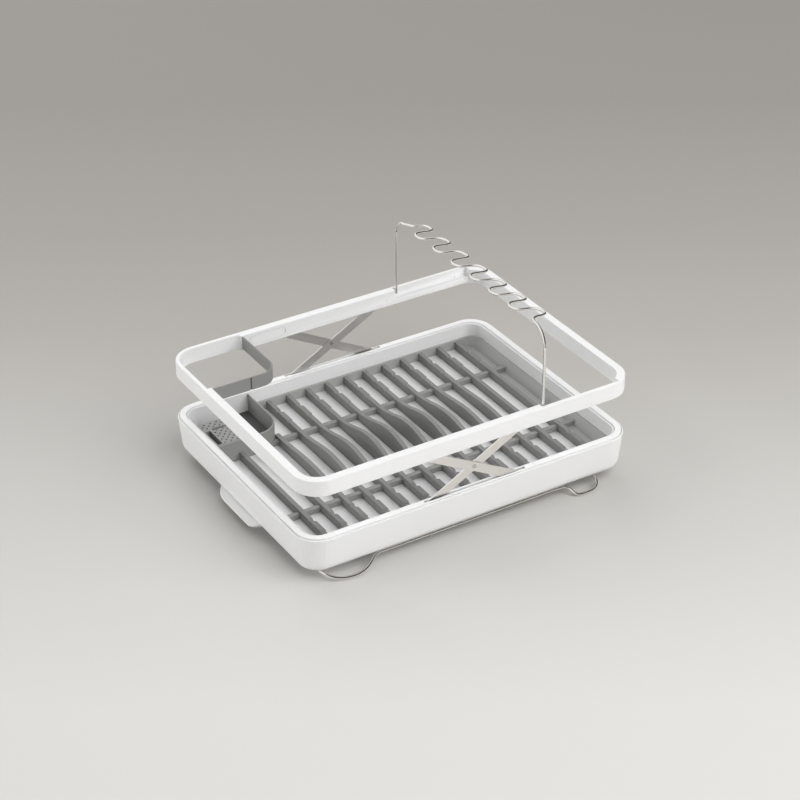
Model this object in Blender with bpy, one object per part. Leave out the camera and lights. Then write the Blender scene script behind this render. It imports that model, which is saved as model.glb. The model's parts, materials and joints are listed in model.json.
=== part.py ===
"""Countertop dish rack: a drip tray with a lift-up frame on scissor bars.

Metres, +Z up. The worktop is z = 0 and the long side of the rack runs along X.
The front is -Y, and the pour lip is on the left side, -X.
"""
import math

import bmesh
import bpy
from mathutils import Matrix, Vector

MM = 0.001

# Clearances
GAP = 0.3 * MM
OVERRUN = 4.0 * MM

# Resolution of round shapes
CORNER_STEPS = 8
EDGE_STEPS = 3
ROD_SIDES = 16
HOLE_SIDES = 6

# Drip tray, measured from its underside
BODY_LENGTH = 482.0 * MM
BODY_WIDTH = 365.0 * MM
BODY_CORNER = 33.0 * MM
FOOT_HEIGHT = 14.0 * MM
TRAY_HEIGHT = 46.9 * MM
TRAY_WALL = 2.6 * MM
TRAY_DRAFT = 4.7 * MM
TRAY_TOP_INSET = 0.3 * MM
TRAY_EDGE = 12.0 * MM

# Pour lip and finger scoop on the left wall of the tray
LIP_OVERHANG = 5.0 * MM
LIP_BACK_Y = 66.0 * MM
LIP_BACK_TAPER = 40.0 * MM
LIP_FRONT_Y = -53.0 * MM
LIP_FRONT_TAPER = 11.0 * MM
LIP_HEIGHT = 2.5 * MM
LIP_EDGE = 0.7 * MM
LIP_ROOT = 18.0 * MM
LIP_STEPS = 20
SCOOP_DEPTH = 3.5 * MM
SCOOP_RADIUS = 14.0 * MM
SCOOP_HEIGHT = 8.5 * MM
SCOOP_HALF_ANGLE = 60.0
SCOOP_STEPS = 8
BACKING_THICKNESS = 2.8 * MM
BACKING_LOW = 5.5 * MM
BACKING_HIGH = 18.5 * MM

# Liner with the two beads of the rim
LINER_INSET = 13.5 * MM
LINER_WALL = 2.2 * MM
LINER_FLOOR_TOP = 18.0 * MM
LINER_FLOOR = 2.2 * MM
FLANGE_THICKNESS = 1.8 * MM
BEAD_TOP = 51.0 * MM
OUTER_BEAD_WIDTH = 1.7 * MM
INNER_BEAD_WIDTH = 1.8 * MM
BEAD_EDGE = 1.2 * MM

# Raised cap of the rim
RIM_TOP = 53.0 * MM
GROOVE_WIDTH = 0.85 * MM
CAP_THICKNESS = 1.4 * MM
CAP_LEG = 1.2 * MM
CAP_EDGE = 1.3 * MM
STUD_X = 90.0 * MM
STUD_RADIUS = 1.4 * MM
STUD_HEIGHT = 1.2 * MM

# Plate insert: walls, cross bars, the floor at its right end, and dividers
INSERT_WALL = 3.0 * MM
INSERT_TOP = 32.0 * MM
INSERT_EDGE = 0.8 * MM
CROSS_BAR_INSET = 84.7 * MM
CROSS_BAR_WIDTH = 6.5 * MM
CROSS_BAR_TOP = 26.0 * MM
MARGIN_FLOOR = 1.2 * MM
MARGIN_SLOPE = 8.4 * MM
DIVIDER_COUNT = 14
DIVIDER_LEFT_MARGIN = 28.3 * MM
DIVIDER_RIGHT_MARGIN = 32.7 * MM
DIVIDER_WIDTH = 6.5 * MM
DIVIDER_TOP = 30.0 * MM
DIVIDER_CHAMFER = 0.8 * MM
HUMP_HEIGHT = 14.0 * MM
HUMP_SHORTFALL = 6.0 * MM
HUMP_STEPS = 10
HUMP_SHARES = (0.0, 0.12, 0.28, 0.57, 0.8, 1.0, 1.0, 0.97, 0.93, 0.71, 0.45, 0.28, 0.0, 0.0)
DIP_DEPTH = 2.6 * MM
DIP_HALF_LENGTH = 3.5 * MM
DIP_OFFSET = 26.0 * MM
PAD_LENGTH = 30.0 * MM
PAD_WIDTH = 9.0 * MM
PAD_CREST = 2.2 * MM
PAD_DROP = 2.6 * MM
PAD_RAMP = 3.0 * MM

# Utensil caddy in the back left corner of the tray
CADDY_LENGTH = 96.8 * MM
CADDY_DEPTH = 95.1 * MM
CADDY_TOP = 48.0 * MM
CADDY_WALL = 2.0 * MM
CADDY_FLOOR_TOP = 22.0 * MM
CADDY_CORNER = 32.0 * MM
GRATE_LENGTH = 49.2 * MM
GRATE_DEPTH = 57.8 * MM
GRATE_PLATE = 2.0 * MM
GRATE_WALL = 1.8 * MM
GRATE_HOLE_RADIUS = 1.3 * MM
GRATE_FIRST_INSET = 5.1 * MM
GRATE_FIRST_DEPTH = 3.4 * MM
GRATE_STEP_X = 4.45 * MM
GRATE_STEP_Y = 4.55 * MM
GRATE_MARGIN = 2.4 * MM
KNIFE_SLOT_INSET = 3.7 * MM
KNIFE_SLOT_WIDTH = 6.7 * MM
KNIFE_SLOT_START = 2.4 * MM
KNIFE_SLOT_LENGTH = 35.4 * MM
CROSS_SLOT_START = 41.0 * MM
CROSS_SLOT_WIDTH = 2.4 * MM
CROSS_SLOT_INSET = 13.7 * MM
CROSS_SLOT_LENGTH = 24.5 * MM

# Wire foot frame under the tray
FOOT_WIRE_RADIUS = 2.0 * MM
FOOT_FLAT = 0.4 * MM
FOOT_RUN_INSET = 12.0 * MM
FOOT_REACH = 15.5 * MM
FOOT_LEFT_INSET = 25.0 * MM
FOOT_LEFT_LENGTH = 81.0 * MM
FOOT_RIGHT_INSET = 51.0 * MM
FOOT_RIGHT_LENGTH = 56.0 * MM
FOOT_POINT_SPACING = 5.5 * MM
# Each loop from the front run to the side run: share of its length, share of its reach
LEFT_LOOP_SHARES = ((-0.1, 0.0), (0.0, 0.02), (0.08, 0.15), (0.17, 0.45), (0.27, 0.74), (0.38, 0.92), (0.52, 1.0),
                    (0.68, 0.92), (0.79, 0.77), (0.89, 0.5), (0.96, 0.17), (0.99, -0.15), (1.0, -0.5))
RIGHT_LOOP_SHARES = ((-0.1, 0.0), (0.0, 0.01), (0.13, 0.05), (0.22, 0.18), (0.275, 0.4), (0.32, 0.73), (0.4, 0.95),
                     (0.6, 1.0), (0.78, 0.96), (0.89, 0.83), (0.965, 0.59), (0.99, 0.25), (1.0, -0.2))

# Scissor bars and their pins, heights from the tray's underside
BAR_HALF_SPAN = 79.7 * MM
BAR_WIDTH = 12.0 * MM
BAR_THICKNESS = 1.2 * MM
BAR_STEPS = 8
INNER_BAR_INSET = 6.8 * MM
BAR_LAYER_GAP = 0.4 * MM
LOWER_PIN_Z = 43.0 * MM
UPPER_PIN_Z = 118.6 * MM
FOLDED_RISE = 18.1 * MM
PIN_RADIUS = 2.0 * MM
RIVET_HEAD_RADIUS = 3.2 * MM
RIVET_HEAD = 0.4 * MM
TRACK_THICKNESS = 2.8 * MM
TRACK_BOTTOM = 36.5 * MM
TRACK_MARGIN = 9.0 * MM
SLOT_HALF_WIDTH = 2.2 * MM
CAP_SLOT_LEFT = 72.5 * MM
CAP_SLOT_RIGHT = 76.5 * MM

# Top frame on the scissor bars
RING_END_INSET = 1.0 * MM
RING_SIDE_OVERHANG = 0.5 * MM
RING_CORNER = 35.0 * MM
RING_TOP = 136.2 * MM
RING_HEIGHT = 22.0 * MM
RING_WALL = 11.0 * MM
RING_TOP_EDGE = 2.4 * MM
RING_EDGE = 1.0 * MM
CHANNEL_HEIGHT = 12.0 * MM
PIN_SEAT = 2.4 * MM
TRACK_DEPTH = 1.3 * MM
LEDGE_DEPTH = 6.5 * MM
LEDGE_HEIGHT = 12.7 * MM
LEDGE_START_MARGIN = 2.2 * MM
LEDGE_END_MARGIN = 1.4 * MM
PLATE_X = -97.7 * MM
PLATE_Z = 124.7 * MM
PLATE_LENGTH = 54.0 * MM
PLATE_HEIGHT = 13.0 * MM
PLATE_DEPTH = 1.2 * MM

# Utensil band inside the top frame
BAND_DEPTH = 97.0 * MM
BAND_LENGTH = 96.0 * MM
BAND_CORNER = 24.0 * MM
BAND_SEAM_LENGTH = 55.0 * MM
BAND_BOTTOM = 116.0 * MM
BAND_TOP = 134.7 * MM
BAND_WALL = 2.0 * MM

# Stemware holder, hinged in the top frame
STEM_WIRE_RADIUS = 1.8 * MM
STEM_HINGE_INSET = 137.5 * MM
STEM_HINGE_Z = 128.5 * MM
STEM_SEAT = 2.7 * MM
STEM_PIN = 6.4 * MM
STEM_ELBOW = 2.4 * MM
STEM_TOP = 238.8 * MM
STEM_BACK_BEND_DROP = 16.0 * MM
STEM_BACK_BEND_REACH = 11.0 * MM
STEM_FRONT_BEND_DROP = 24.5 * MM
STEM_FRONT_BEND_REACH = 28.7 * MM
STEM_REACH = 27.5 * MM
STEM_LEAD = 44.2 * MM
STEM_TAIL = 41.2 * MM
STEM_LOOPS = 6
STEM_BEND_STEPS = 4
STEM_POINT_SPACING = 4.8 * MM
# How far the wire still stands off its posts where each bend begins, as a share of the reach
BEND_SHARE = 0.13
# One wave from a right tip to the next: reach share, pitch share
WAVE_SHARES = ((1.0, 0.0), (0.97, 0.055), (0.82, 0.075), (0.5, 0.025), (0.25, 0.0), (0.08, 0.04),
               (0.0, 0.14), (0.01, 0.29), (0.14, 0.43), (0.42, 0.51), (0.7, 0.575), (0.88, 0.67),
               (0.97, 0.8), (1.0, 0.92))
# Run from the back bend to the first tip: reach share, share of the way along Y
LEAD_SHARES = ((0.16, 0.07), (0.3, 0.25), (0.42, 0.42), (0.7, 0.53), (0.92, 0.65), (1.0, 0.83))
# Run from the last tip to the front bend: reach share, share of the way along Y
TAIL_SHARES = ((0.97, 0.11), (0.78, 0.23), (0.5, 0.17), (0.27, 0.34), (0.17, 0.75))


def above(height):
    """The height above the worktop of a height above the tray's underside."""
    return FOOT_HEIGHT + height


HALF_LENGTH = BODY_LENGTH / 2
HALF_WIDTH = BODY_WIDTH / 2
CENTRE_SHIFT = Vector((LIP_OVERHANG / 2, 0.0, 0.0))
LINER_X = HALF_LENGTH - LINER_INSET
LINER_Y = HALF_WIDTH - LINER_INSET
LINER_OUTER_INSET = LINER_INSET - LINER_WALL
FLANGE_BOTTOM = TRAY_HEIGHT + GAP
FLANGE_TOP = FLANGE_BOTTOM + FLANGE_THICKNESS
CAP_OUTER_INSET = OUTER_BEAD_WIDTH + GROOVE_WIDTH
CAP_INNER_INSET = LINER_INSET - INNER_BEAD_WIDTH - GROOVE_WIDTH
INSERT_BASE = LINER_FLOOR_TOP + GAP
INSERT_OUTER_INSET = LINER_INSET + GAP
INSERT_INNER_INSET = INSERT_OUTER_INSET + INSERT_WALL
INSERT_X = HALF_LENGTH - INSERT_INNER_INSET
INSERT_Y = HALF_WIDTH - INSERT_INNER_INSET
CROSS_BAR_Y = INSERT_Y - CROSS_BAR_INSET
DIVIDER_FIRST_X = DIVIDER_LEFT_MARGIN - INSERT_X
DIVIDER_PITCH = (INSERT_X - DIVIDER_RIGHT_MARGIN - DIVIDER_FIRST_X) / (DIVIDER_COUNT - 1)
HUMP_HALF_LENGTH = CROSS_BAR_Y - HUMP_SHORTFALL
DIP_NEAR_Y = CROSS_BAR_Y + DIP_OFFSET
DIP_FAR_Y = DIP_NEAR_Y + PAD_LENGTH
MARGIN_X = DIVIDER_FIRST_X + DIVIDER_PITCH * (DIVIDER_COUNT - 1) + PAD_WIDTH + GAP
MARGIN_TOP = INSERT_BASE + MARGIN_FLOOR
CADDY_RIGHT_X = CADDY_LENGTH - LINER_X
CADDY_FRONT_Y = LINER_Y - CADDY_DEPTH
GRATE_LEFT_X = GAP - LINER_X
GRATE_FRONT_Y = CADDY_FRONT_Y + CADDY_WALL + GAP
GRATE_RIGHT_X = GRATE_LEFT_X + GRATE_LENGTH
GRATE_BACK_Y = GRATE_FRONT_Y + GRATE_DEPTH
KNIFE_SLOT = (GRATE_LEFT_X + KNIFE_SLOT_INSET, GRATE_FRONT_Y + KNIFE_SLOT_START, KNIFE_SLOT_WIDTH, KNIFE_SLOT_LENGTH)
CROSS_SLOT = (GRATE_LEFT_X + CROSS_SLOT_INSET, GRATE_FRONT_Y + CROSS_SLOT_START - CROSS_SLOT_WIDTH,
              CROSS_SLOT_LENGTH, CROSS_SLOT_WIDTH)
FOOT_RUN_Z = FOOT_HEIGHT - GAP - FOOT_WIRE_RADIUS
FOOT_RUN_Y = HALF_WIDTH - FOOT_RUN_INSET
FOOT_LEFT_X = FOOT_LEFT_INSET - HALF_LENGTH
FOOT_RIGHT_X = HALF_LENGTH - FOOT_RIGHT_INSET
INNER_BAR_Y = HALF_WIDTH - INNER_BAR_INSET
OUTER_BAR_Y = INNER_BAR_Y + BAR_THICKNESS + BAR_LAYER_GAP
BAR_INNER_FACE = INNER_BAR_Y - BAR_THICKNESS / 2
BAR_OUTER_FACE = OUTER_BAR_Y + BAR_THICKNESS / 2
HOLE_RADIUS = PIN_RADIUS + GAP
REST_ANGLE = math.asin((UPPER_PIN_Z - LOWER_PIN_Z) / (2 * BAR_HALF_SPAN))
FOLDED_ANGLE = math.asin(FOLDED_RISE / (2 * BAR_HALF_SPAN))
PIN_X = BAR_HALF_SPAN * math.cos(REST_ANGLE)
SLIDE = 2 * BAR_HALF_SPAN * (math.cos(FOLDED_ANGLE) - math.cos(REST_ANGLE))
RIVET_Z = (LOWER_PIN_Z + UPPER_PIN_Z) / 2
SLOT_INNER_Y = INNER_BAR_Y - SLOT_HALF_WIDTH + BAR_THICKNESS / 2
SLOT_OUTER_Y = OUTER_BAR_Y + SLOT_HALF_WIDTH - BAR_THICKNESS / 2 - GAP
LOWER_TRACK_Y = HALF_WIDTH - LINER_OUTER_INSET + GAP
RING_HALF_X = HALF_LENGTH - RING_END_INSET
RING_HALF_Y = HALF_WIDTH + RING_SIDE_OVERHANG
RING_INNER_X = RING_HALF_X - RING_WALL
RING_INNER_Y = RING_HALF_Y - RING_WALL
RING_BOTTOM = RING_TOP - RING_HEIGHT
CHANNEL_TOP = RING_BOTTOM + CHANNEL_HEIGHT
BAND_FRONT_Y = RING_INNER_Y - BAND_DEPTH
BAND_RIGHT_X = BAND_LENGTH - RING_INNER_X
BAND_SEAM_X = BAND_SEAM_LENGTH - RING_INNER_X
STEM_HINGE_X = RING_HALF_X - STEM_HINGE_INSET
STEM_POST_Y = RING_INNER_Y + STEM_SEAT
STEM_FIRST_Y = STEM_POST_Y - STEM_LEAD
STEM_PITCH = (STEM_FIRST_Y + STEM_POST_Y - STEM_TAIL) / STEM_LOOPS
LEDGE_START_X = STEM_HINGE_X - STEM_WIRE_RADIUS - LEDGE_START_MARGIN
LEDGE_END_X = STEM_HINGE_X + STEM_TOP - STEM_HINGE_Z + STEM_WIRE_RADIUS + LEDGE_END_MARGIN
SIDES = (("back", 1.0), ("front", -1.0))


def clear_scene():
    for old in list(bpy.data.objects):
        bpy.data.objects.remove(old, do_unlink=True)


def make_material(name, colour, roughness, metallic=0.0):
    material = bpy.data.materials.new(name)
    material.use_nodes = True
    shader = material.node_tree.nodes["Principled BSDF"]
    shader.inputs["Base Color"].default_value = (*colour, 1.0)
    shader.inputs["Roughness"].default_value = roughness
    shader.inputs["Metallic"].default_value = metallic
    return material


def make_empty(name, location, parent=None):
    """An empty at a place in rack coordinates, under an unrotated parent."""
    empty = bpy.data.objects.new(name, None)
    bpy.context.collection.objects.link(empty)
    empty["rack_place"] = tuple(location)
    if parent is None:
        empty.location = location
    else:
        empty.parent = parent
        empty.location = Vector(location) - Vector(parent["rack_place"])
    return empty


def add_object(name, bm, material, carrier):
    """Finish a mesh built in rack coordinates and hang it on its carrier empty."""
    bmesh.ops.recalc_face_normals(bm, faces=bm.faces[:])
    origin = Vector(carrier["rack_place"])
    bmesh.ops.translate(bm, verts=bm.verts[:], vec=-origin)
    mesh = bpy.data.meshes.new(name)
    bm.to_mesh(mesh)
    bm.free()
    mesh.materials.append(material)
    mesh.shade_smooth()
    mesh.set_sharp_from_angle(angle=math.radians(35))
    obj = bpy.data.objects.new(name, mesh)
    bpy.context.collection.objects.link(obj)
    obj.parent = carrier
    return obj


def cut(obj, cutter, operation="DIFFERENCE"):
    """Apply one mesh to another with a Boolean, and keep the tool out of the render."""
    cutter.hide_render = True
    cutter.display_type = "WIRE"
    modifier = obj.modifiers.new(cutter.name, "BOOLEAN")
    modifier.operation = operation
    modifier.object = cutter
    modifier.solver = "EXACT"


def rounded_outline(half_x, half_y, radius):
    """Stations round a rounded rectangle: a point and its outward direction."""
    stations = []
    for sx, sy, start in ((1, 1, 0), (-1, 1, 90), (-1, -1, 180), (1, -1, 270)):
        centre = Vector((sx * (half_x - radius), sy * (half_y - radius)))
        for step in range(CORNER_STEPS + 1):
            angle = math.radians(start + 90 * step / CORNER_STEPS)
            normal = Vector((math.cos(angle), math.sin(angle)))
            stations.append((centre + radius * normal, normal))
    return stations


def sweep(bm, stations, section, closed=True):
    """Carry a section of (inset, height) points round the stations."""
    rows = []
    for point, normal in stations:
        row = []
        for inset, height in section:
            place = point - inset * normal
            row.append(bm.verts.new((place.x, place.y, height)))
        rows.append(row)
    count = len(section)
    spans = count if closed else count - 1
    for index, row in enumerate(rows):
        following = rows[(index + 1) % len(rows)]
        for k in range(spans):
            m = (k + 1) % count
            bm.faces.new((row[k], row[m], following[m], following[k]))
    if not closed:
        bm.faces.new([row[0] for row in rows])
        bm.faces.new([row[-1] for row in rows])


def skin(bm, rows):
    """Join rows of points one after the other and close both ends."""
    count = len(rows[0])
    for row, following in zip(rows[:-1], rows[1:]):
        for k in range(count):
            m = (k + 1) % count
            bm.faces.new((row[k], row[m], following[m], following[k]))
    bm.faces.new(rows[0])
    bm.faces.new(rows[-1])


def arc(centre, radius, start, end, steps=EDGE_STEPS):
    """Points on an arc, angles in degrees."""
    points = []
    for step in range(steps + 1):
        angle = math.radians(start + (end - start) * step / steps)
        points.append((centre[0] + radius * math.cos(angle), centre[1] + radius * math.sin(angle)))
    return points


def rounded_polygon(corners, steps=CORNER_STEPS):
    """An outline whose corners are given as (x, y, radius), turning to the left."""
    points = []
    count = len(corners)
    for index, (x, y, radius) in enumerate(corners):
        here = Vector((x, y))
        if radius <= 0:
            points.append(here)
            continue
        before = (Vector(corners[index - 1][:2]) - here).normalized()
        after = (Vector(corners[(index + 1) % count][:2]) - here).normalized()
        half = before.angle(after) / 2
        centre = here + (before + after).normalized() * (radius / math.sin(half))
        first = here + before * (radius / math.tan(half)) - centre
        last = here + after * (radius / math.tan(half)) - centre
        sweep_angle = math.atan2(first.cross(last), first.dot(last))
        for step in range(steps + 1):
            angle = sweep_angle * step / steps
            turned = Matrix.Rotation(angle, 2) @ first
            points.append(centre + turned)
    return points


def prism(bm, outline, bottom, top):
    """Raise an XY outline between two heights."""
    low = [bm.verts.new((p[0], p[1], bottom)) for p in outline]
    high = [bm.verts.new((p[0], p[1], top)) for p in outline]
    bm.faces.new(low)
    bm.faces.new(high)
    for k in range(len(outline)):
        m = (k + 1) % len(outline)
        bm.faces.new((low[k], low[m], high[m], high[k]))


def block(bm, low, high):
    """A box between two corners."""
    prism(bm, ((low[0], low[1]), (high[0], low[1]), (high[0], high[1]), (low[0], high[1])), low[2], high[2])


def plate_xz(bm, outline, y_low, y_high):
    """Raise an outline of (x, z) points between two Y values."""
    near = [bm.verts.new((p[0], y_low, p[1])) for p in outline]
    far = [bm.verts.new((p[0], y_high, p[1])) for p in outline]
    bm.faces.new(near)
    bm.faces.new(far)
    for k in range(len(outline)):
        m = (k + 1) % len(outline)
        bm.faces.new((near[k], near[m], far[m], far[k]))


def rod_outline(x, z, radius, sides=ROD_SIDES):
    turn = 2 * math.pi / sides
    return [(x + radius * math.cos(turn * k), z + radius * math.sin(turn * k)) for k in range(sides)]


def stadium(x_start, x_end, z, radius, steps=BAR_STEPS):
    """A long round-ended outline in (x, z)."""
    right = arc((x_end, z), radius, -90, 90, steps)
    left = arc((x_start, z), radius, 90, 270, steps)
    return right + left


def section_box(outer, inner, bottom, top, radii):
    """A closed section with rounded corners, radii listed as top outer, top inner, bottom inner, bottom outer."""
    top_outer, top_inner, bottom_inner, bottom_outer = radii
    points = arc((outer + top_outer, top - top_outer), top_outer, 180, 90)
    points += arc((inner - top_inner, top - top_inner), top_inner, 90, 0)
    points += arc((inner - bottom_inner, bottom + bottom_inner), bottom_inner, 0, -90)
    points += arc((outer + bottom_outer, bottom + bottom_outer), bottom_outer, 270, 180)
    return points


def tray_inset(height):
    """Inset of the drafted outer wall of the tray at a height above its underside."""
    return TRAY_TOP_INSET + TRAY_DRAFT * (1 - height / TRAY_HEIGHT)


def wall_inset(height):
    """Inset of the tray's outer face at a height, with its rounded lower edge."""
    if height >= TRAY_EDGE:
        return tray_inset(height)
    return tray_inset(TRAY_EDGE) + TRAY_EDGE - math.sqrt(TRAY_EDGE ** 2 - (TRAY_EDGE - height) ** 2)


def make_drip_tray(carrier, material):
    base = tray_inset(TRAY_EDGE)
    centre = (base + TRAY_EDGE, above(TRAY_EDGE))
    section = arc(centre, TRAY_EDGE, 270, 180, CORNER_STEPS // 2)
    section.append((TRAY_TOP_INSET, above(TRAY_HEIGHT)))
    section.append((TRAY_TOP_INSET + TRAY_WALL, above(TRAY_HEIGHT)))
    section += arc(centre, TRAY_EDGE - TRAY_WALL, 180, 270, EDGE_STEPS)
    bm = bmesh.new()
    sweep(bm, rounded_outline(HALF_LENGTH, HALF_WIDTH, BODY_CORNER), section, closed=False)
    tray = add_object("drip_tray", bm, material, carrier)
    cut(tray, make_scoop_backing(carrier, material), "UNION")
    cut(tray, make_scoop_cutter(carrier, material))
    cut(tray, make_pour_lip(carrier, material), "UNION")
    return tray


def lip_share(y):
    """How far the pour lip stands out at y, from 0 at its ends to 1."""
    rise = min(max((LIP_BACK_Y - y) / LIP_BACK_TAPER, 0.0), 1.0)
    fall = min(max((y - LIP_FRONT_Y) / LIP_FRONT_TAPER, 0.0), 1.0)
    return math.sin(rise * math.pi / 2) * math.sin(fall * math.pi / 2)


def lip_stations():
    """Y places along the lip and its share at each, closer together towards both ends."""
    for step in range(LIP_STEPS + 1):
        y = LIP_FRONT_Y + (LIP_BACK_Y - LIP_FRONT_Y) * (1 - math.cos(math.pi * step / LIP_STEPS)) / 2
        yield y, lip_share(y)


def make_scoop_backing(carrier, material):
    """A thickening inside the left wall, behind the finger scoop."""
    low = wall_inset(BACKING_LOW) + TRAY_WALL / 2
    high = wall_inset(BACKING_HIGH) + TRAY_WALL / 2
    depth = wall_inset(SCOOP_HEIGHT) + TRAY_WALL + BACKING_THICKNESS
    outline = [(-HALF_LENGTH + low, above(BACKING_LOW)), (-HALF_LENGTH + depth, above(BACKING_LOW)),
               (-HALF_LENGTH + depth, above(BACKING_HIGH)), (-HALF_LENGTH + high, above(BACKING_HIGH))]
    bm = bmesh.new()
    plate_xz(bm, outline, LIP_FRONT_Y, LIP_BACK_Y)
    return add_object("scoop_backing_shape", bm, material, carrier)


def make_scoop_cutter(carrier, material):
    """A long cove for the fingers above the pour lip, fading out at both ends."""
    wall_x = -(HALF_LENGTH - wall_inset(SCOOP_HEIGHT))
    rows = []
    bm = bmesh.new()
    for y, share in lip_stations():
        centre = (wall_x + SCOOP_DEPTH * share - SCOOP_RADIUS, above(SCOOP_HEIGHT))
        outline = arc(centre, SCOOP_RADIUS, -SCOOP_HALF_ANGLE, SCOOP_HALF_ANGLE, SCOOP_STEPS)
        rows.append([bm.verts.new((x, y, z)) for x, z in outline])
    skin(bm, rows)
    return add_object("scoop_cutter", bm, material, carrier)


def make_pour_lip(carrier, material):
    """A thin lip that stands out along the bottom of the left wall."""
    root_x = -HALF_LENGTH + LIP_ROOT
    least = LIP_ROOT - wall_inset(0.0)
    reach = LIP_ROOT + LIP_OVERHANG - least
    rows = []
    bm = bmesh.new()
    for y, share in lip_stations():
        out = least + reach * share
        section = ((0.0, 0.0), (out - LIP_EDGE, 0.0), (out, LIP_EDGE), (out, LIP_HEIGHT - LIP_EDGE),
                   (out - LIP_EDGE, LIP_HEIGHT), (0.0, LIP_HEIGHT))
        rows.append([bm.verts.new((root_x - d, y, above(z))) for d, z in section])
    skin(bm, rows)
    return add_object("pour_lip_shape", bm, material, carrier)


def bar_slots(bm, left, right, inner, outer, bottom, top):
    """The same slot in the front and back sides of the rim."""
    for _, side in SIDES:
        y_low, y_high = sorted((side * inner, side * outer))
        block(bm, (-left, y_low, bottom), (right, y_high, top))


def make_tray_liner(carrier, material):
    section = [(LINER_INSET, above(LINER_FLOOR_TOP)), (LINER_INSET, above(BEAD_TOP - BEAD_EDGE / 2))]
    section.append((LINER_INSET - BEAD_EDGE / 2, above(BEAD_TOP)))
    section.append((LINER_INSET - INNER_BEAD_WIDTH + GAP, above(BEAD_TOP)))
    section.append((LINER_INSET - INNER_BEAD_WIDTH, above(FLANGE_TOP)))
    section.append((OUTER_BEAD_WIDTH, above(FLANGE_TOP)))
    section.append((OUTER_BEAD_WIDTH - GAP, above(BEAD_TOP)))
    section += arc((BEAD_EDGE, above(BEAD_TOP - BEAD_EDGE)), BEAD_EDGE, 90, 180)
    section.append((0.0, above(FLANGE_BOTTOM)))
    section.append((LINER_OUTER_INSET, above(FLANGE_BOTTOM)))
    section.append((LINER_OUTER_INSET, above(LINER_FLOOR_TOP - LINER_FLOOR)))
    bm = bmesh.new()
    sweep(bm, rounded_outline(HALF_LENGTH, HALF_WIDTH, BODY_CORNER), section, closed=False)
    liner = add_object("tray_liner", bm, material, carrier)
    bm = bmesh.new()
    left = PIN_X + TRACK_MARGIN
    right = PIN_X + SLIDE + TRACK_MARGIN
    top = FLANGE_TOP + GAP
    bar_slots(bm, left, right, SLOT_INNER_Y, SLOT_OUTER_Y, above(FLANGE_BOTTOM - GAP), above(top))
    cut(liner, add_object("flange_slot_cutter", bm, material, carrier))
    return liner


def make_rim_cap(carrier, material):
    outer = CAP_OUTER_INSET
    inner = CAP_INNER_INSET
    bottom = above(FLANGE_TOP + GAP)
    under = above(RIM_TOP - CAP_THICKNESS)
    section = arc((outer + CAP_EDGE, above(RIM_TOP - CAP_EDGE)), CAP_EDGE, 180, 90)
    section += arc((inner - CAP_EDGE, above(RIM_TOP - CAP_EDGE)), CAP_EDGE, 90, 0)
    section += [(inner, bottom), (inner - CAP_LEG, bottom), (inner - CAP_LEG, under)]
    section += [(outer + CAP_LEG, under), (outer + CAP_LEG, bottom), (outer, bottom)]
    bm = bmesh.new()
    sweep(bm, rounded_outline(HALF_LENGTH, HALF_WIDTH, BODY_CORNER), section)
    cap = add_object("rim_cap", bm, material, carrier)
    bm = bmesh.new()
    bar_slots(bm, CAP_SLOT_LEFT, CAP_SLOT_RIGHT, SLOT_INNER_Y, SLOT_OUTER_Y, under - GAP, above(RIM_TOP) + OVERRUN)
    cut(cap, add_object("cap_slot_cutter", bm, material, carrier))
    return cap


def make_stud(side_name, side, carrier, material):
    """A small domed stop on the rim that the lowered frame comes down over."""
    bm = bmesh.new()
    centre_y = side * (INNER_BAR_Y + OUTER_BAR_Y) / 2
    rows = []
    base = above(RIM_TOP) + GAP
    for step in range(EDGE_STEPS + 1):
        angle = math.pi / 2 * step / (EDGE_STEPS + 1)
        radius = STUD_RADIUS * math.cos(angle)
        height = base + STUD_HEIGHT * math.sin(angle)
        turn = 2 * math.pi / ROD_SIDES
        rows.append([bm.verts.new((STUD_X + radius * math.cos(turn * k), centre_y + radius * math.sin(turn * k),
                                   height)) for k in range(ROD_SIDES)])
    skin(bm, rows)
    return add_object("rim_stop_" + side_name, bm, material, carrier)


def make_insert_wall(name, corner, carrier, material):
    """One wall of the insert, from the middle of a corner to the middle of the next one."""
    edge = INSERT_EDGE
    section = section_box(INSERT_OUTER_INSET, INSERT_INNER_INSET, above(INSERT_BASE), above(INSERT_TOP),
                          (edge, edge, edge / 2, edge / 2))
    stations = rounded_outline(HALF_LENGTH, HALF_WIDTH, BODY_CORNER)
    first = corner * (CORNER_STEPS + 1) + CORNER_STEPS // 2
    run = [stations[(first + step) % len(stations)] for step in range(CORNER_STEPS + 2)]
    for end, direction in ((0, 1.0), (-1, -1.0)):
        point, normal = run[end]
        run[end] = (point + direction * GAP / 2 * Vector((-normal.y, normal.x)), normal)
    rows = []
    bm = bmesh.new()
    for point, normal in run:
        places = [(point - inset * normal, height) for inset, height in section]
        rows.append([bm.verts.new((place.x, place.y, height)) for place, height in places])
    skin(bm, rows)
    return add_object(name, bm, material, carrier)


def make_bay_cutter(carrier, material):
    """The room that the caddy takes out of the insert."""
    bm = bmesh.new()
    prism(bm, caddy_outline(-GAP, -HALF_LENGTH, HALF_WIDTH), above(INSERT_BASE) - OVERRUN,
          above(INSERT_TOP) + OVERRUN)
    return add_object("caddy_bay_cutter", bm, material, carrier)


def make_end_cutter(carrier, material):
    """The room that the right end takes out of the front and back walls."""
    bm = bmesh.new()
    block(bm, (MARGIN_X - GAP, -HALF_WIDTH, above(INSERT_BASE) - OVERRUN),
          (HALF_LENGTH, HALF_WIDTH, above(INSERT_TOP) + OVERRUN))
    return add_object("insert_end_cutter", bm, material, carrier)


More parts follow.
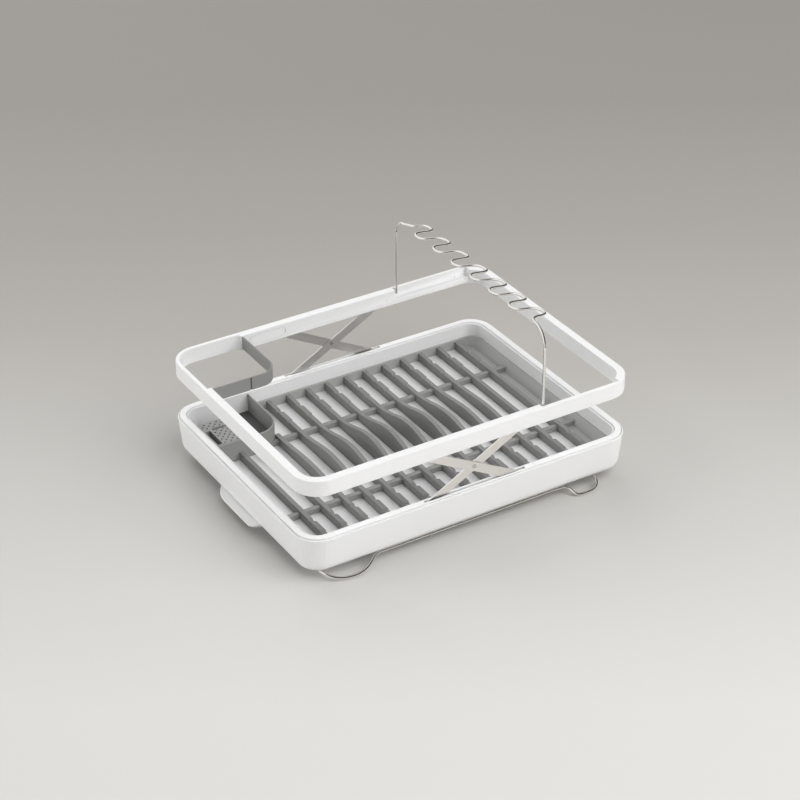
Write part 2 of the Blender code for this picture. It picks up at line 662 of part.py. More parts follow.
def insert_corner_outline(inset, shift=0.0):
    """The right end of the insert in plan at an inset, its end face moved left by a shift."""
    radius = BODY_CORNER - inset
    right = HALF_LENGTH - inset - shift
    depth = HALF_WIDTH - inset
    return rounded_polygon(((MARGIN_X, -depth, 0.0), (right, -depth, radius), (right, depth, radius),
                            (MARGIN_X, depth, 0.0)))


def make_insert_end(carrier, material):
    """The right end: a strip of floor whose end wall leans out."""
    bm = bmesh.new()
    prism(bm, insert_corner_outline(INSERT_OUTER_INSET), above(INSERT_BASE), above(INSERT_TOP))
    end = add_object("insert_frame_right", bm, material, carrier)
    bm = bmesh.new()
    low = insert_corner_outline(INSERT_INNER_INSET, MARGIN_SLOPE)
    high = insert_corner_outline(INSERT_INNER_INSET)
    rise = INSERT_TOP - MARGIN_TOP
    overshoot = OVERRUN / rise
    rows = []
    for height, share in ((MARGIN_TOP, 0.0), (INSERT_TOP + OVERRUN, 1.0 + overshoot)):
        places = [a + (b - a) * share for a, b in zip(low, high)]
        places = [Vector((MARGIN_X - OVERRUN, p.y)) if p.x <= MARGIN_X + GAP else p for p in places]
        rows.append([bm.verts.new((p.x, p.y, above(height))) for p in places])
    skin(bm, rows)
    cut(end, add_object("insert_end_cavity_cutter", bm, material, carrier))
    return end


def make_cross_bar(side_name, side, carrier, material):
    """A bar under the dividers, stepped over the floor at the right end."""
    rise = (CROSS_BAR_TOP - MARGIN_TOP) / (INSERT_TOP - MARGIN_TOP)
    foot = INSERT_X - MARGIN_SLOPE - GAP
    step_z = above(MARGIN_TOP + GAP)
    outline = ((GAP - INSERT_X, above(INSERT_BASE)), (MARGIN_X - GAP, above(INSERT_BASE)), (MARGIN_X - GAP, step_z),
               (foot, step_z), (foot + MARGIN_SLOPE * rise, above(CROSS_BAR_TOP)),
               (GAP - INSERT_X, above(CROSS_BAR_TOP)))
    half = CROSS_BAR_WIDTH / 2
    bm = bmesh.new()
    plate_xz(bm, outline, side * CROSS_BAR_Y - half, side * CROSS_BAR_Y + half)
    return add_object("insert_cross_bar_" + side_name, bm, material, carrier)


def make_insert(carrier, material):
    bay = make_bay_cutter(carrier, material)
    end = make_end_cutter(carrier, material)
    back = make_insert_wall("insert_frame_back", 0, carrier, material)
    left = make_insert_wall("insert_frame_left", 1, carrier, material)
    front = make_insert_wall("insert_frame_front", 2, carrier, material)
    cut(back, bay)
    cut(left, bay)
    cut(back, end)
    cut(front, end)
    make_insert_end(carrier, material)
    for side_name, side in SIDES:
        bar = make_cross_bar(side_name, side, carrier, material)
        if side > 0:
            cut(bar, bay)


def divider_top(y, hump):
    """Height of a divider's crest: level, with four dips and a hump at mid-length."""
    height = DIVIDER_TOP
    if abs(y) < HUMP_HALF_LENGTH:
        height += hump * (1 + math.cos(math.pi * y / HUMP_HALF_LENGTH)) / 2
    for dip in (DIP_NEAR_Y, DIP_FAR_Y):
        if abs(abs(y) - dip) < DIP_HALF_LENGTH:
            height -= DIP_DEPTH * (1 - abs(abs(y) - dip) / DIP_HALF_LENGTH)
    return height


def pad_share(y):
    """1 where a plate's rim rests between the dips, 0 elsewhere, with ramps."""
    start = DIP_NEAR_Y
    end = DIP_FAR_Y
    rise = (abs(y) - start) / PAD_RAMP
    fall = (end - abs(y)) / PAD_RAMP
    return min(max(min(rise, fall), 0.0), 1.0)


def divider_stations(front, back, hump):
    """Y places where the divider's section changes, from front to back."""
    places = {front, back}
    half = CROSS_BAR_WIDTH / 2 + GAP
    for side in (-1, 1):
        for dip in (DIP_NEAR_Y, DIP_FAR_Y):
            for offset in (-DIP_HALF_LENGTH, 0.0, DIP_HALF_LENGTH):
                places.add(side * (dip + offset))
        for edge in (-half - GAP, -half, half, half + GAP):
            places.add(side * (CROSS_BAR_Y + edge))
    if hump > 0:
        for step in range(HUMP_STEPS + 1):
            places.add(HUMP_HALF_LENGTH * (2 * step / HUMP_STEPS - 1))
    return sorted(y for y in places if front <= y <= back)


def divider_back(left):
    """Where a divider ends: at the back wall, or at the caddy's front wall and its round corner."""
    across = left - (CADDY_RIGHT_X - CADDY_CORNER)
    if across <= 0:
        return CADDY_FRONT_Y - GAP
    if across < CADDY_CORNER:
        return CADDY_FRONT_Y + CADDY_CORNER - math.sqrt(CADDY_CORNER ** 2 - across ** 2) - GAP
    return INSERT_Y - GAP


def make_divider(index, carrier, material):
    """One plate divider, notched under where it crosses the bars of the insert."""
    left = DIVIDER_FIRST_X + DIVIDER_PITCH * index
    hump = HUMP_HEIGHT * HUMP_SHARES[index]
    front = -INSERT_Y + GAP
    back = divider_back(left)
    half = CROSS_BAR_WIDTH / 2 + GAP
    rows = []
    bm = bmesh.new()
    for y in divider_stations(front, back, hump):
        base = INSERT_BASE
        if abs(abs(y) - CROSS_BAR_Y) < half + GAP / 2:
            base = CROSS_BAR_TOP + GAP
        top = divider_top(y, hump)
        pad = pad_share(y)
        width = DIVIDER_WIDTH + (PAD_WIDTH - DIVIDER_WIDTH) * pad
        crest = DIVIDER_WIDTH - DIVIDER_CHAMFER + (PAD_CREST - DIVIDER_WIDTH + DIVIDER_CHAMFER) * pad
        shoulder = top - DIVIDER_CHAMFER - (PAD_DROP - DIVIDER_CHAMFER) * pad
        section = ((0.0, base), (0.0, top), (crest, top), (width, shoulder), (width, base))
        rows.append([bm.verts.new((left + x, y, above(z))) for x, z in section])
    skin(bm, rows)
    return add_object("plate_divider_%02d" % (index + 1), bm, material, carrier)


def caddy_outline(margin, left, back):
    """The caddy's plan: round towards the plates, and round where it meets the tray's corner."""
    front = CADDY_FRONT_Y + margin
    right = CADDY_RIGHT_X - margin
    tray_corner = BODY_CORNER - LINER_INSET - GAP
    return rounded_polygon(((left, front, 0.0), (right, front, CADDY_CORNER - margin),
                            (right, back, 0.0), (left, back, tray_corner)))


def make_caddy_tub(carrier, material):
    """A floor and an L-shaped wall; the liner closes the other two sides."""
    bm = bmesh.new()
    prism(bm, caddy_outline(0.0, -LINER_X + GAP, LINER_Y - GAP), above(INSERT_BASE), above(CADDY_TOP))
    tub = add_object("caddy_tub", bm, material, carrier)
    bm = bmesh.new()
    outline = rounded_polygon(((-HALF_LENGTH, CADDY_FRONT_Y + CADDY_WALL, 0.0),
                               (CADDY_RIGHT_X - CADDY_WALL, CADDY_FRONT_Y + CADDY_WALL, CADDY_CORNER - CADDY_WALL),
                               (CADDY_RIGHT_X - CADDY_WALL, HALF_WIDTH, 0.0), (-HALF_LENGTH, HALF_WIDTH, 0.0)))
    prism(bm, outline, above(CADDY_FLOOR_TOP), above(CADDY_TOP) + OVERRUN)
    cut(tub, add_object("caddy_cavity_cutter", bm, material, carrier))
    return tub


def near_slot(x, y, slot):
    """Whether a drain hole at x, y would come too close to a slot given by its corner and size."""
    left, front, length, depth = slot
    clear = GRATE_HOLE_RADIUS * 2
    return left - clear < x < left + length + clear and front - clear < y < front + depth + clear


def grate_holes():
    """Centres of the drain holes, in staggered rows that stay clear of the slots and edges."""
    row = 0
    y = GRATE_FRONT_Y + GRATE_FIRST_DEPTH
    while y < GRATE_BACK_Y - GRATE_MARGIN:
        x = GRATE_LEFT_X + GRATE_FIRST_INSET + GRATE_STEP_X * (row % 2)
        while x < GRATE_RIGHT_X - GRATE_MARGIN:
            if not near_slot(x, y, KNIFE_SLOT) and not near_slot(x, y, CROSS_SLOT):
                yield x, y
            x += GRATE_STEP_X * 2
        y += GRATE_STEP_Y
        row += 1


def make_caddy_grate(carrier, material):
    """A perforated block in the tub, open underneath, with two slots for knives."""
    base = above(CADDY_FLOOR_TOP + GAP)
    bm = bmesh.new()
    block(bm, (GRATE_LEFT_X, GRATE_FRONT_Y, base), (GRATE_RIGHT_X, GRATE_BACK_Y, above(CADDY_TOP)))
    grate = add_object("caddy_grate", bm, material, carrier)
    bm = bmesh.new()
    wall = GRATE_WALL
    block(bm, (GRATE_LEFT_X + wall, GRATE_FRONT_Y + wall, base - OVERRUN),
          (GRATE_RIGHT_X - wall, GRATE_BACK_Y - wall, above(CADDY_TOP - GRATE_PLATE)))
    cut(grate, add_object("grate_cavity_cutter", bm, material, carrier))
    bm = bmesh.new()
    low = above(CADDY_TOP - GRATE_PLATE) - GAP
    high = above(CADDY_TOP) + OVERRUN
    for left, front, length, depth in (KNIFE_SLOT, CROSS_SLOT):
        block(bm, (left, front, low), (left + length, front + depth, high))
    for x, y in grate_holes():
        prism(bm, rod_outline(x, y, GRATE_HOLE_RADIUS, HOLE_SIDES), low, high)
    cut(grate, add_object("grate_hole_cutter", bm, material, carrier))
    return grate


def smooth_path(points, spacing):
    """Points at an even spacing on a smooth curve through the given points."""
    dense = []
    for k in range(len(points) - 1):
        p0 = points[max(k - 1, 0)]
        p1 = points[k]
        p2 = points[k + 1]
        p3 = points[min(k + 2, len(points) - 1)]
        parts = max(int((p2 - p1).length / spacing + 0.5), 1)
        for step in range(parts):
            t = step / parts
            dense.append(0.5 * (2 * p1 + (p2 - p0) * t + (2 * p0 - 5 * p1 + 4 * p2 - p3) * t ** 2
                                + (3 * p1 - p0 - 3 * p2 + p3) * t ** 3))
    dense.append(points[-1])
    return dense


def wire(name, points, radius, cyclic, material, carrier):
    """A round wire along a list of points in rack coordinates."""
    curve = bpy.data.curves.new(name, "CURVE")
    curve.dimensions = "3D"
    spline = curve.splines.new("POLY")
    spline.points.add(len(points) - 1)
    origin = Vector(carrier["rack_place"])
    for slot, point in zip(spline.points, points):
        slot.co = (*(point - origin), 1.0)
    spline.use_cyclic_u = cyclic
    spline.use_smooth = True
    curve.bevel_depth = radius
    curve.bevel_resolution = 2
    curve.use_fill_caps = not cyclic
    curve.materials.append(material)
    obj = bpy.data.objects.new(name, curve)
    bpy.context.collection.objects.link(obj)
    obj.parent = carrier
    return obj


def foot_loop(shares, x_end, length, side):
    """A loop that leaves the long run, dips to the worktop and turns back under the tray."""
    drop = FOOT_RUN_Z - FOOT_WIRE_RADIUS + FOOT_FLAT
    points = []
    for along, out in shares:
        x = x_end + length * (1 - along)
        y = FOOT_RUN_Y + FOOT_REACH * out
        points.append(Vector((x, side * y, FOOT_RUN_Z - drop * max(out, 0.0))))
    return smooth_path(points, FOOT_POINT_SPACING)


def make_foot_frame(carrier, material):
    """One closed wire with four dipped loops that stand on the worktop, flattened where they touch it."""
    points = []
    for side in (-1.0, 1.0):
        left = foot_loop(LEFT_LOOP_SHARES, FOOT_LEFT_X, FOOT_LEFT_LENGTH, side)
        right = foot_loop(RIGHT_LOOP_SHARES, FOOT_RIGHT_X, -FOOT_RIGHT_LENGTH, side)
        half = left[::-1] + right
        points += half if side < 0 else half[::-1]
    drawn = wire("foot_frame_path", points, FOOT_WIRE_RADIUS, True, material, carrier)
    bpy.context.view_layer.update()
    mesh = bpy.data.meshes.new_from_object(drawn.evaluated_get(bpy.context.evaluated_depsgraph_get()))
    bpy.data.objects.remove(drawn, do_unlink=True)
    bm = bmesh.new()
    bm.from_mesh(mesh)
    bmesh.ops.remove_doubles(bm, verts=bm.verts[:], dist=GAP / 100)
    frame = add_object("wire_foot_frame", bm, material, carrier)
    bm = bmesh.new()
    block(bm, (-HALF_LENGTH, -HALF_WIDTH - FOOT_REACH, -OVERRUN), (HALF_LENGTH, HALF_WIDTH + FOOT_REACH, 0.0))
    cut(frame, add_object("foot_flat_cutter", bm, material, carrier))
    return frame


def bar_matrix(rising):
    """Turns a bar drawn level and centred on its rivet into its place at rest."""
    slope = -REST_ANGLE if rising else REST_ANGLE
    return Matrix.Translation((0.0, 0.0, above(RIVET_Z))) @ Matrix.Rotation(slope, 4, "Y")


def make_bar(name, rising, y, carrier, material):
    """A flat bar with round ends and three pin holes."""
    half = BAR_THICKNESS / 2
    bm = bmesh.new()
    plate_xz(bm, stadium(-BAR_HALF_SPAN, BAR_HALF_SPAN, 0.0, BAR_WIDTH / 2), y - half, y + half)
    bm.transform(bar_matrix(rising))
    bar = add_object(name, bm, material, carrier)
    bm = bmesh.new()
    for x in (-BAR_HALF_SPAN, 0.0, BAR_HALF_SPAN):
        plate_xz(bm, rod_outline(x, 0.0, HOLE_RADIUS), y - half - OVERRUN, y + half + OVERRUN)
    bm.transform(bar_matrix(rising))
    cut(bar, add_object(name + "_hole_cutter", bm, material, carrier))
    return bar


def make_pin(name, x, z, y_ends, carrier, material):
    bm = bmesh.new()
    plate_xz(bm, rod_outline(x, z, PIN_RADIUS), min(y_ends), max(y_ends))
    return add_object(name, bm, material, carrier)


def make_rivet(name, side, carrier, material):
    """The centre rivet of a pair of bars, with a thin head on each face."""
    inner = BAR_INNER_FACE - BAR_LAYER_GAP / 4
    outer = BAR_OUTER_FACE + BAR_LAYER_GAP / 4
    levels = ((inner - RIVET_HEAD, RIVET_HEAD_RADIUS), (inner, RIVET_HEAD_RADIUS), (inner, PIN_RADIUS),
              (outer, PIN_RADIUS), (outer, RIVET_HEAD_RADIUS), (outer + RIVET_HEAD, RIVET_HEAD_RADIUS))
    bm = bmesh.new()
    rows = []
    for y, radius in levels:
        rows.append([bm.verts.new((x, side * y, above(RIVET_Z) + z)) for x, z in rod_outline(0.0, 0.0, radius)])
    skin(bm, rows)
    return add_object(name, bm, material, carrier)


def make_lower_track(side_name, side, carrier, material):
    """The strip inside the rim that holds the fixed pin and guides the sliding one."""
    y_low, y_high = sorted((side * LOWER_TRACK_Y, side * (LOWER_TRACK_Y + TRACK_THICKNESS)))
    bm = bmesh.new()
    left = -PIN_X - TRACK_MARGIN + GAP
    right = PIN_X + SLIDE + TRACK_MARGIN - GAP
    block(bm, (left, y_low, above(TRACK_BOTTOM)), (right, y_high, above(FLANGE_BOTTOM - GAP)))
    track = add_object("lower_track_" + side_name, bm, material, carrier)
    bm = bmesh.new()
    low = y_low - OVERRUN
    high = y_high + OVERRUN
    plate_xz(bm, rod_outline(-PIN_X, above(LOWER_PIN_Z), HOLE_RADIUS), low, high)
    plate_xz(bm, stadium(PIN_X, PIN_X + SLIDE, above(LOWER_PIN_Z), HOLE_RADIUS), low, high)
    cut(track, add_object("lower_track_cutter_" + side_name, bm, material, carrier))
    return track


def make_top_frame(carrier, material):
    """The lift-up frame, with a channel underneath for the bars and a ledge for the folded wire."""
    section = section_box(0.0, RING_WALL, above(RING_BOTTOM), above(RING_TOP),
                          (RING_TOP_EDGE, RING_EDGE, RING_EDGE, RING_EDGE))
    bm = bmesh.new()
    sweep(bm, rounded_outline(RING_HALF_X, RING_HALF_Y, RING_CORNER), section)
    frame = add_object("top_frame", bm, material, carrier)
    channels = bmesh.new()
    pins = bmesh.new()
    left = -PIN_X - TRACK_MARGIN
    right = PIN_X + SLIDE + TRACK_MARGIN
    for _, side in SIDES:
        y_low, y_high = sorted((side * SLOT_INNER_Y, side * SLOT_OUTER_Y))
        block(channels, (left, y_low, above(RING_BOTTOM) - OVERRUN), (right, y_high, above(CHANNEL_TOP)))
        y_low, y_high = sorted((side * (RING_INNER_Y - OVERRUN), side * (RING_INNER_Y + LEDGE_DEPTH)))
        block(channels, (LEDGE_START_X, y_low, above(RING_TOP - LEDGE_HEIGHT)),
              (LEDGE_END_X, y_high, above(RING_TOP) + OVERRUN))
        y_ends = sorted((side * (SLOT_OUTER_Y - GAP), side * (SLOT_OUTER_Y + PIN_SEAT)))
        plate_xz(pins, rod_outline(-PIN_X, above(UPPER_PIN_Z), HOLE_RADIUS), *y_ends)
        y_ends = sorted((side * (SLOT_INNER_Y + GAP), side * (SLOT_INNER_Y - TRACK_DEPTH)))
        plate_xz(pins, stadium(PIN_X, PIN_X + SLIDE, above(UPPER_PIN_Z), HOLE_RADIUS), *y_ends)
        y_ends = sorted((side * (RING_INNER_Y + LEDGE_DEPTH - GAP), side * (STEM_POST_Y + STEM_PIN + GAP)))
        plate_xz(pins, rod_outline(STEM_HINGE_X, above(STEM_HINGE_Z), STEM_WIRE_RADIUS + GAP), *y_ends)
    y_ends = (RING_INNER_Y - OVERRUN, RING_INNER_Y + PLATE_DEPTH)
    straight = (PLATE_LENGTH - PLATE_HEIGHT) / 2
    plate_xz(pins, stadium(PLATE_X - straight, PLATE_X + straight, above(PLATE_Z), PLATE_HEIGHT / 2 + GAP), *y_ends)
    cut(frame, add_object("top_frame_channel_cutter", channels, material, carrier))
    cut(frame, add_object("top_frame_pin_cutter", pins, material, carrier))
    return frame


def make_blank_plate(carrier, material):
    """A plain flush plate in the inner face of the back rail."""
    straight = (PLATE_LENGTH - PLATE_HEIGHT) / 2
    bm = bmesh.new()
    outline = stadium(PLATE_X - straight, PLATE_X + straight, above(PLATE_Z), PLATE_HEIGHT / 2)
    plate_xz(bm, outline, RING_INNER_Y, RING_INNER_Y + PLATE_DEPTH - GAP)
    return add_object("blank_plate", bm, material, carrier)


def make_band_front(carrier, material):
    """The straight length of the utensil band, from the left rail to the seam."""
    bm = bmesh.new()
    block(bm, (-RING_INNER_X + GAP, BAND_FRONT_Y, above(BAND_BOTTOM)),
          (BAND_SEAM_X - GAP / 2, BAND_FRONT_Y + BAND_WALL, above(BAND_TOP)))
    return add_object("utensil_band_front", bm, material, carrier)


def make_band_corner(carrier, material):
    """The bent length of the utensil band, from the seam round to the back rail."""
    start = BAND_SEAM_X + GAP / 2
    end = RING_INNER_Y - GAP
    outer = rounded_polygon(((BAND_RIGHT_X, BAND_FRONT_Y, BAND_CORNER), (BAND_RIGHT_X, end, 0.0), (start, end, 0.0),
                             (start, BAND_FRONT_Y, 0.0)))[:CORNER_STEPS + 1]
    inner_x = BAND_RIGHT_X - BAND_WALL
    inner_y = BAND_FRONT_Y + BAND_WALL
    inner = rounded_polygon(((inner_x, inner_y, BAND_CORNER - BAND_WALL), (inner_x, end, 0.0), (start, end, 0.0),
                             (start, inner_y, 0.0)))[:CORNER_STEPS + 1]
    outline = [Vector((start, BAND_FRONT_Y))] + outer + [Vector((BAND_RIGHT_X, end)), Vector((inner_x, end))]
    outline += inner[::-1] + [Vector((start, inner_y))]
    bm = bmesh.new()
    prism(bm, outline, above(BAND_BOTTOM), above(BAND_TOP))
    return add_object("utensil_band_corner", bm, material, carrier)


def stem_post(side, drop):
    """The pin in the top frame, its elbow, and the post up to where the bend begins."""
    hinge_z = above(STEM_HINGE_Z)
    bend_z = above(STEM_TOP) - drop
    places = [(STEM_PIN, hinge_z), (STEM_ELBOW, hinge_z)]
    for step in range(1, EDGE_STEPS + 1):
        angle = math.pi / 2 * step / EDGE_STEPS
        places.append((STEM_ELBOW * (1 - math.sin(angle)), hinge_z + STEM_ELBOW * (1 - math.cos(angle))))
    places.append((0.0, (hinge_z + bend_z) / 2))
    places.append((0.0, bend_z))
    return [Vector((STEM_HINGE_X, side * (STEM_POST_Y + out), z)) for out, z in places]


def stem_bend(side, drop, reach):
    """The bend from a post to the level of the hooks, leaving the plane of the posts as it rises."""
    points = []
    for step in range(1, STEM_BEND_STEPS):
        angle = math.pi / 2 * step / STEM_BEND_STEPS
        x = STEM_HINGE_X + STEM_REACH * BEND_SHARE * math.sin(angle) ** 2
        y = STEM_POST_Y - reach * (1 - math.cos(angle))
        points.append(Vector((x, side * y, above(STEM_TOP) - drop * (1 - math.sin(angle)))))
    points.append(Vector((STEM_HINGE_X + STEM_REACH * BEND_SHARE, side * (STEM_POST_Y - reach), above(STEM_TOP))))
    return points


def stem_points():
    """The holder's wire: pin, post, bend, a row of hooks, and back down to the other pin."""
    top = above(STEM_TOP)
    back_post = stem_post(1.0, STEM_BACK_BEND_DROP)
    front_post = stem_post(-1.0, STEM_FRONT_BEND_DROP)
    back_bend = stem_bend(1.0, STEM_BACK_BEND_DROP, STEM_BACK_BEND_REACH)
    front_bend = stem_bend(-1.0, STEM_FRONT_BEND_DROP, STEM_FRONT_BEND_REACH)
    lead_start = STEM_POST_Y - STEM_BACK_BEND_REACH
    lead = [Vector((STEM_HINGE_X + STEM_REACH * reach, lead_start + (STEM_FIRST_Y - lead_start) * along, top))
            for reach, along in LEAD_SHARES]
    hooks = []
    for loop in range(STEM_LOOPS):
        for reach, along in WAVE_SHARES:
            hooks.append(Vector((STEM_HINGE_X + STEM_REACH * reach,
                                 STEM_FIRST_Y - STEM_PITCH * (loop + along), top)))
    last_y = STEM_FIRST_Y - STEM_PITCH * STEM_LOOPS
    tail_end = STEM_FRONT_BEND_REACH - STEM_POST_Y
    hooks.append(Vector((STEM_HINGE_X + STEM_REACH, last_y, top)))
    tail = [Vector((STEM_HINGE_X + STEM_REACH * reach, last_y + (tail_end - last_y) * along, top))
            for reach, along in TAIL_SHARES]
    wave = smooth_path([back_post[-1]] + back_bend + lead + hooks + tail + front_bend[::-1] + [front_post[-1]],
                       STEM_POINT_SPACING)
    return back_post[:-1] + wave + front_post[-2::-1]


def make_stem_holder(carrier, material):
    return wire("stemware_holder", stem_points(), STEM_WIRE_RADIUS, False, material, carrier)


def make_scissors(side_name, side, frame_carrier, root_carrier, steel, plastic, pin_metal):
    """A crossed pair of bars: the rising one turns on the rim, the falling one on the top frame."""
    rising_hinge = (-PIN_X, side * INNER_BAR_Y, above(LOWER_PIN_Z))
    falling_hinge = (0.0, side * OUTER_BAR_Y, above(RIVET_Z))
    rising = make_empty("rising_bar_axis_" + side_name, rising_hinge, root_carrier)
    falling = make_empty("falling_bar_axis_" + side_name, falling_hinge, rising)
    make_bar("rising_bar_" + side_name, True, side * INNER_BAR_Y, rising, steel)
    make_bar("falling_bar_" + side_name, False, side * OUTER_BAR_Y, falling, steel)
    make_rivet("centre_rivet_" + side_name, side, rising, pin_metal)
    inner_end = side * (BAR_INNER_FACE + BAR_THICKNESS + BAR_LAYER_GAP / 2)
    outer_end = side * (BAR_OUTER_FACE + BAR_LAYER_GAP / 2)
    track_end = side * (LOWER_TRACK_Y + GAP)
    make_lower_track(side_name, side, root_carrier, plastic)
    make_pin("lower_pivot_pin_" + side_name, -PIN_X, above(LOWER_PIN_Z), (track_end, inner_end), root_carrier,
             pin_metal)
    make_pin("lower_slide_pin_" + side_name, PIN_X, above(LOWER_PIN_Z), (track_end, outer_end), falling, pin_metal)
    upper_track_end = side * (SLOT_INNER_Y - TRACK_DEPTH + GAP)
    make_pin("upper_slide_pin_" + side_name, PIN_X, above(UPPER_PIN_Z), (upper_track_end, inner_end), rising,
             pin_metal)
    seat_end = side * (SLOT_OUTER_Y + PIN_SEAT - GAP)
    bar_inner = side * (BAR_OUTER_FACE - BAR_THICKNESS - BAR_LAYER_GAP / 2)
    make_pin("upper_pivot_pin_" + side_name, -PIN_X, above(UPPER_PIN_Z), (bar_inner, seat_end), frame_carrier,
             pin_metal)


def build():
    clear_scene()
    white = make_material("white_plastic", (0.84, 0.84, 0.84), 0.35)
    grey = make_material("grey_plastic", (0.36, 0.36, 0.35), 0.5)
    steel = make_material("brushed_steel", (0.78, 0.76, 0.73), 0.3, 1.0)
    bright = make_material("polished_wire", (0.82, 0.81, 0.79), 0.15, 1.0)

    stand = make_empty("rack_stand", CENTRE_SHIFT)
    stand["rack_place"] = (0.0, 0.0, 0.0)
    make_drip_tray(stand, white)
    make_tray_liner(stand, white)
    make_rim_cap(stand, white)
    make_insert(stand, grey)
    for index in range(DIVIDER_COUNT):
        make_divider(index, stand, grey)
    make_caddy_tub(stand, grey)
    make_caddy_grate(stand, grey)
    make_foot_frame(stand, bright)

    frame_axis = make_empty("top_frame_axis", (-PIN_X, OUTER_BAR_Y, above(UPPER_PIN_Z)), stand)
    for side_name, side in SIDES:
        make_stud(side_name, side, stand, white)
        make_scissors(side_name, side, frame_axis, stand, steel, white, bright)
    make_top_frame(frame_axis, white)
    make_blank_plate(frame_axis, white)
    make_band_front(frame_axis, grey)
    make_band_corner(frame_axis, grey)

    stem_axis = make_empty("stemware_axis", (STEM_HINGE_X, 0.0, above(STEM_HINGE_Z)), frame_axis)
    make_stem_holder(stem_axis, bright)
    bpy.context.view_layer.update()
    print("rest angle %.4f, folded angle %.4f degrees" % (math.degrees(REST_ANGLE), math.degrees(FOLDED_ANGLE)))
    print("pin x %.5f m, slide %.5f m" % (PIN_X, SLIDE))


build()
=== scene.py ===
import json
import math

import bmesh
import bpy
from mathutils import Matrix, Vector


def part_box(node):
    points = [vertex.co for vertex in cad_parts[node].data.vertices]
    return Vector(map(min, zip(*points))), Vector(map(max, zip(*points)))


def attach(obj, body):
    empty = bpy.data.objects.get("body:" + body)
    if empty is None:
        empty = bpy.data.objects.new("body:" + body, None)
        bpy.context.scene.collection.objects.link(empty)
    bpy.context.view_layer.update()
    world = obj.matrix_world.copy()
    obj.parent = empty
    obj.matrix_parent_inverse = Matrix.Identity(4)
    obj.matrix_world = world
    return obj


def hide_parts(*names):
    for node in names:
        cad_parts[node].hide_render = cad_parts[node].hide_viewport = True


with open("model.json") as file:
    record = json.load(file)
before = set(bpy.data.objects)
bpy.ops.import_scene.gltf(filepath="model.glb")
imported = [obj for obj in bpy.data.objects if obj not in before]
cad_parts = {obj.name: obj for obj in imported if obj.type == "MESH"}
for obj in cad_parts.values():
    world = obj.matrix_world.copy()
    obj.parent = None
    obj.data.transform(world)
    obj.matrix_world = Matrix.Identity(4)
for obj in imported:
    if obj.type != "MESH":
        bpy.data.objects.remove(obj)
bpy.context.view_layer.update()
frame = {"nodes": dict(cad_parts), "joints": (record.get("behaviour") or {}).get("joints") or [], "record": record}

MM = 0.001

# Camera, from the vanishing lines of the rack's long and short rails
CAMERA_AZIMUTH = math.radians(-31.407)
CAMERA_ELEVATION = math.radians(31.603)
CAMERA_ROLL = math.radians(-0.187)
CAMERA_DISTANCE = 2979.6 * MM
CAMERA_TARGET = Vector((6.85, 5.15, 94.0)) * MM
CAMERA_LENS = 103.75
CAMERA_SENSOR = 36.0

# Resolution and edges of the fine pieces
WIRE_SPACING = 1.2 * MM
WIRE_ROUNDNESS = 6
LATHE_SIDES = 40
DOME_STEPS = 6
SMOOTH_ANGLE = math.radians(30.0)
EASE_ANGLE = math.radians(35.0)
EASE_SEGMENTS = 2

# Clean-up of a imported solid, and the play in which a vertex is told by its place
WELD_DISTANCE = 0.002 * MM
FLAT_ANGLE = math.radians(0.5)
PLACE_PLAY = 0.01 * MM

# Moulded plastic: noise scales, depth of grain, and how far colour and gloss vary
MOTTLE_SCALE = 9.0
MOTTLE_DETAIL = 3.0
GRAIN_DETAIL = 2.0
GRAIN_ROUGHNESS = 0.6
GLOSS_VARIATION = 0.05
GRAIN_STRENGTH = 0.35
WHITE_GRAIN = 2200.0
WHITE_GRAIN_DEPTH = 0.02 * MM
WHITE_MOTTLE = 0.012
GREY_GRAIN = 1500.0
GREY_GRAIN_DEPTH = 0.04 * MM
GREY_MOTTLE = 0.03

# Brushed bars and drawn wire. Each noise is its scale, detail and roughness.
BRUSH_STRETCH = (30.0, 2600.0, 2600.0)
BRUSH_NOISE = (1.0, 4.0, 0.65)
BRUSH_TINT = (0.95, 1.03)
BRUSH_GLOSS = (0.28, 0.36)
BRUSH_GLOSS_SCALE = 30.0
BRUSH_STRENGTH = 0.25
BRUSH_DEPTH = 0.02 * MM
DRAW_NOISE = (900.0, 3.0, 0.7)
DRAW_TINT = (0.96, 1.03)
DRAW_TINT_SCALE = 25.0
DRAW_GLOSS = (0.12, 0.2)
DRAW_STRENGTH = 0.12
DRAW_DEPTH = 0.01 * MM

nodes = frame["nodes"]
joints = {joint["name"]: joint for joint in frame["joints"]}
body_of_node = {}
for body_name, members in frame["record"]["behaviour"]["bodies"].items():
    for member in members:
        body_of_node[member] = body_name


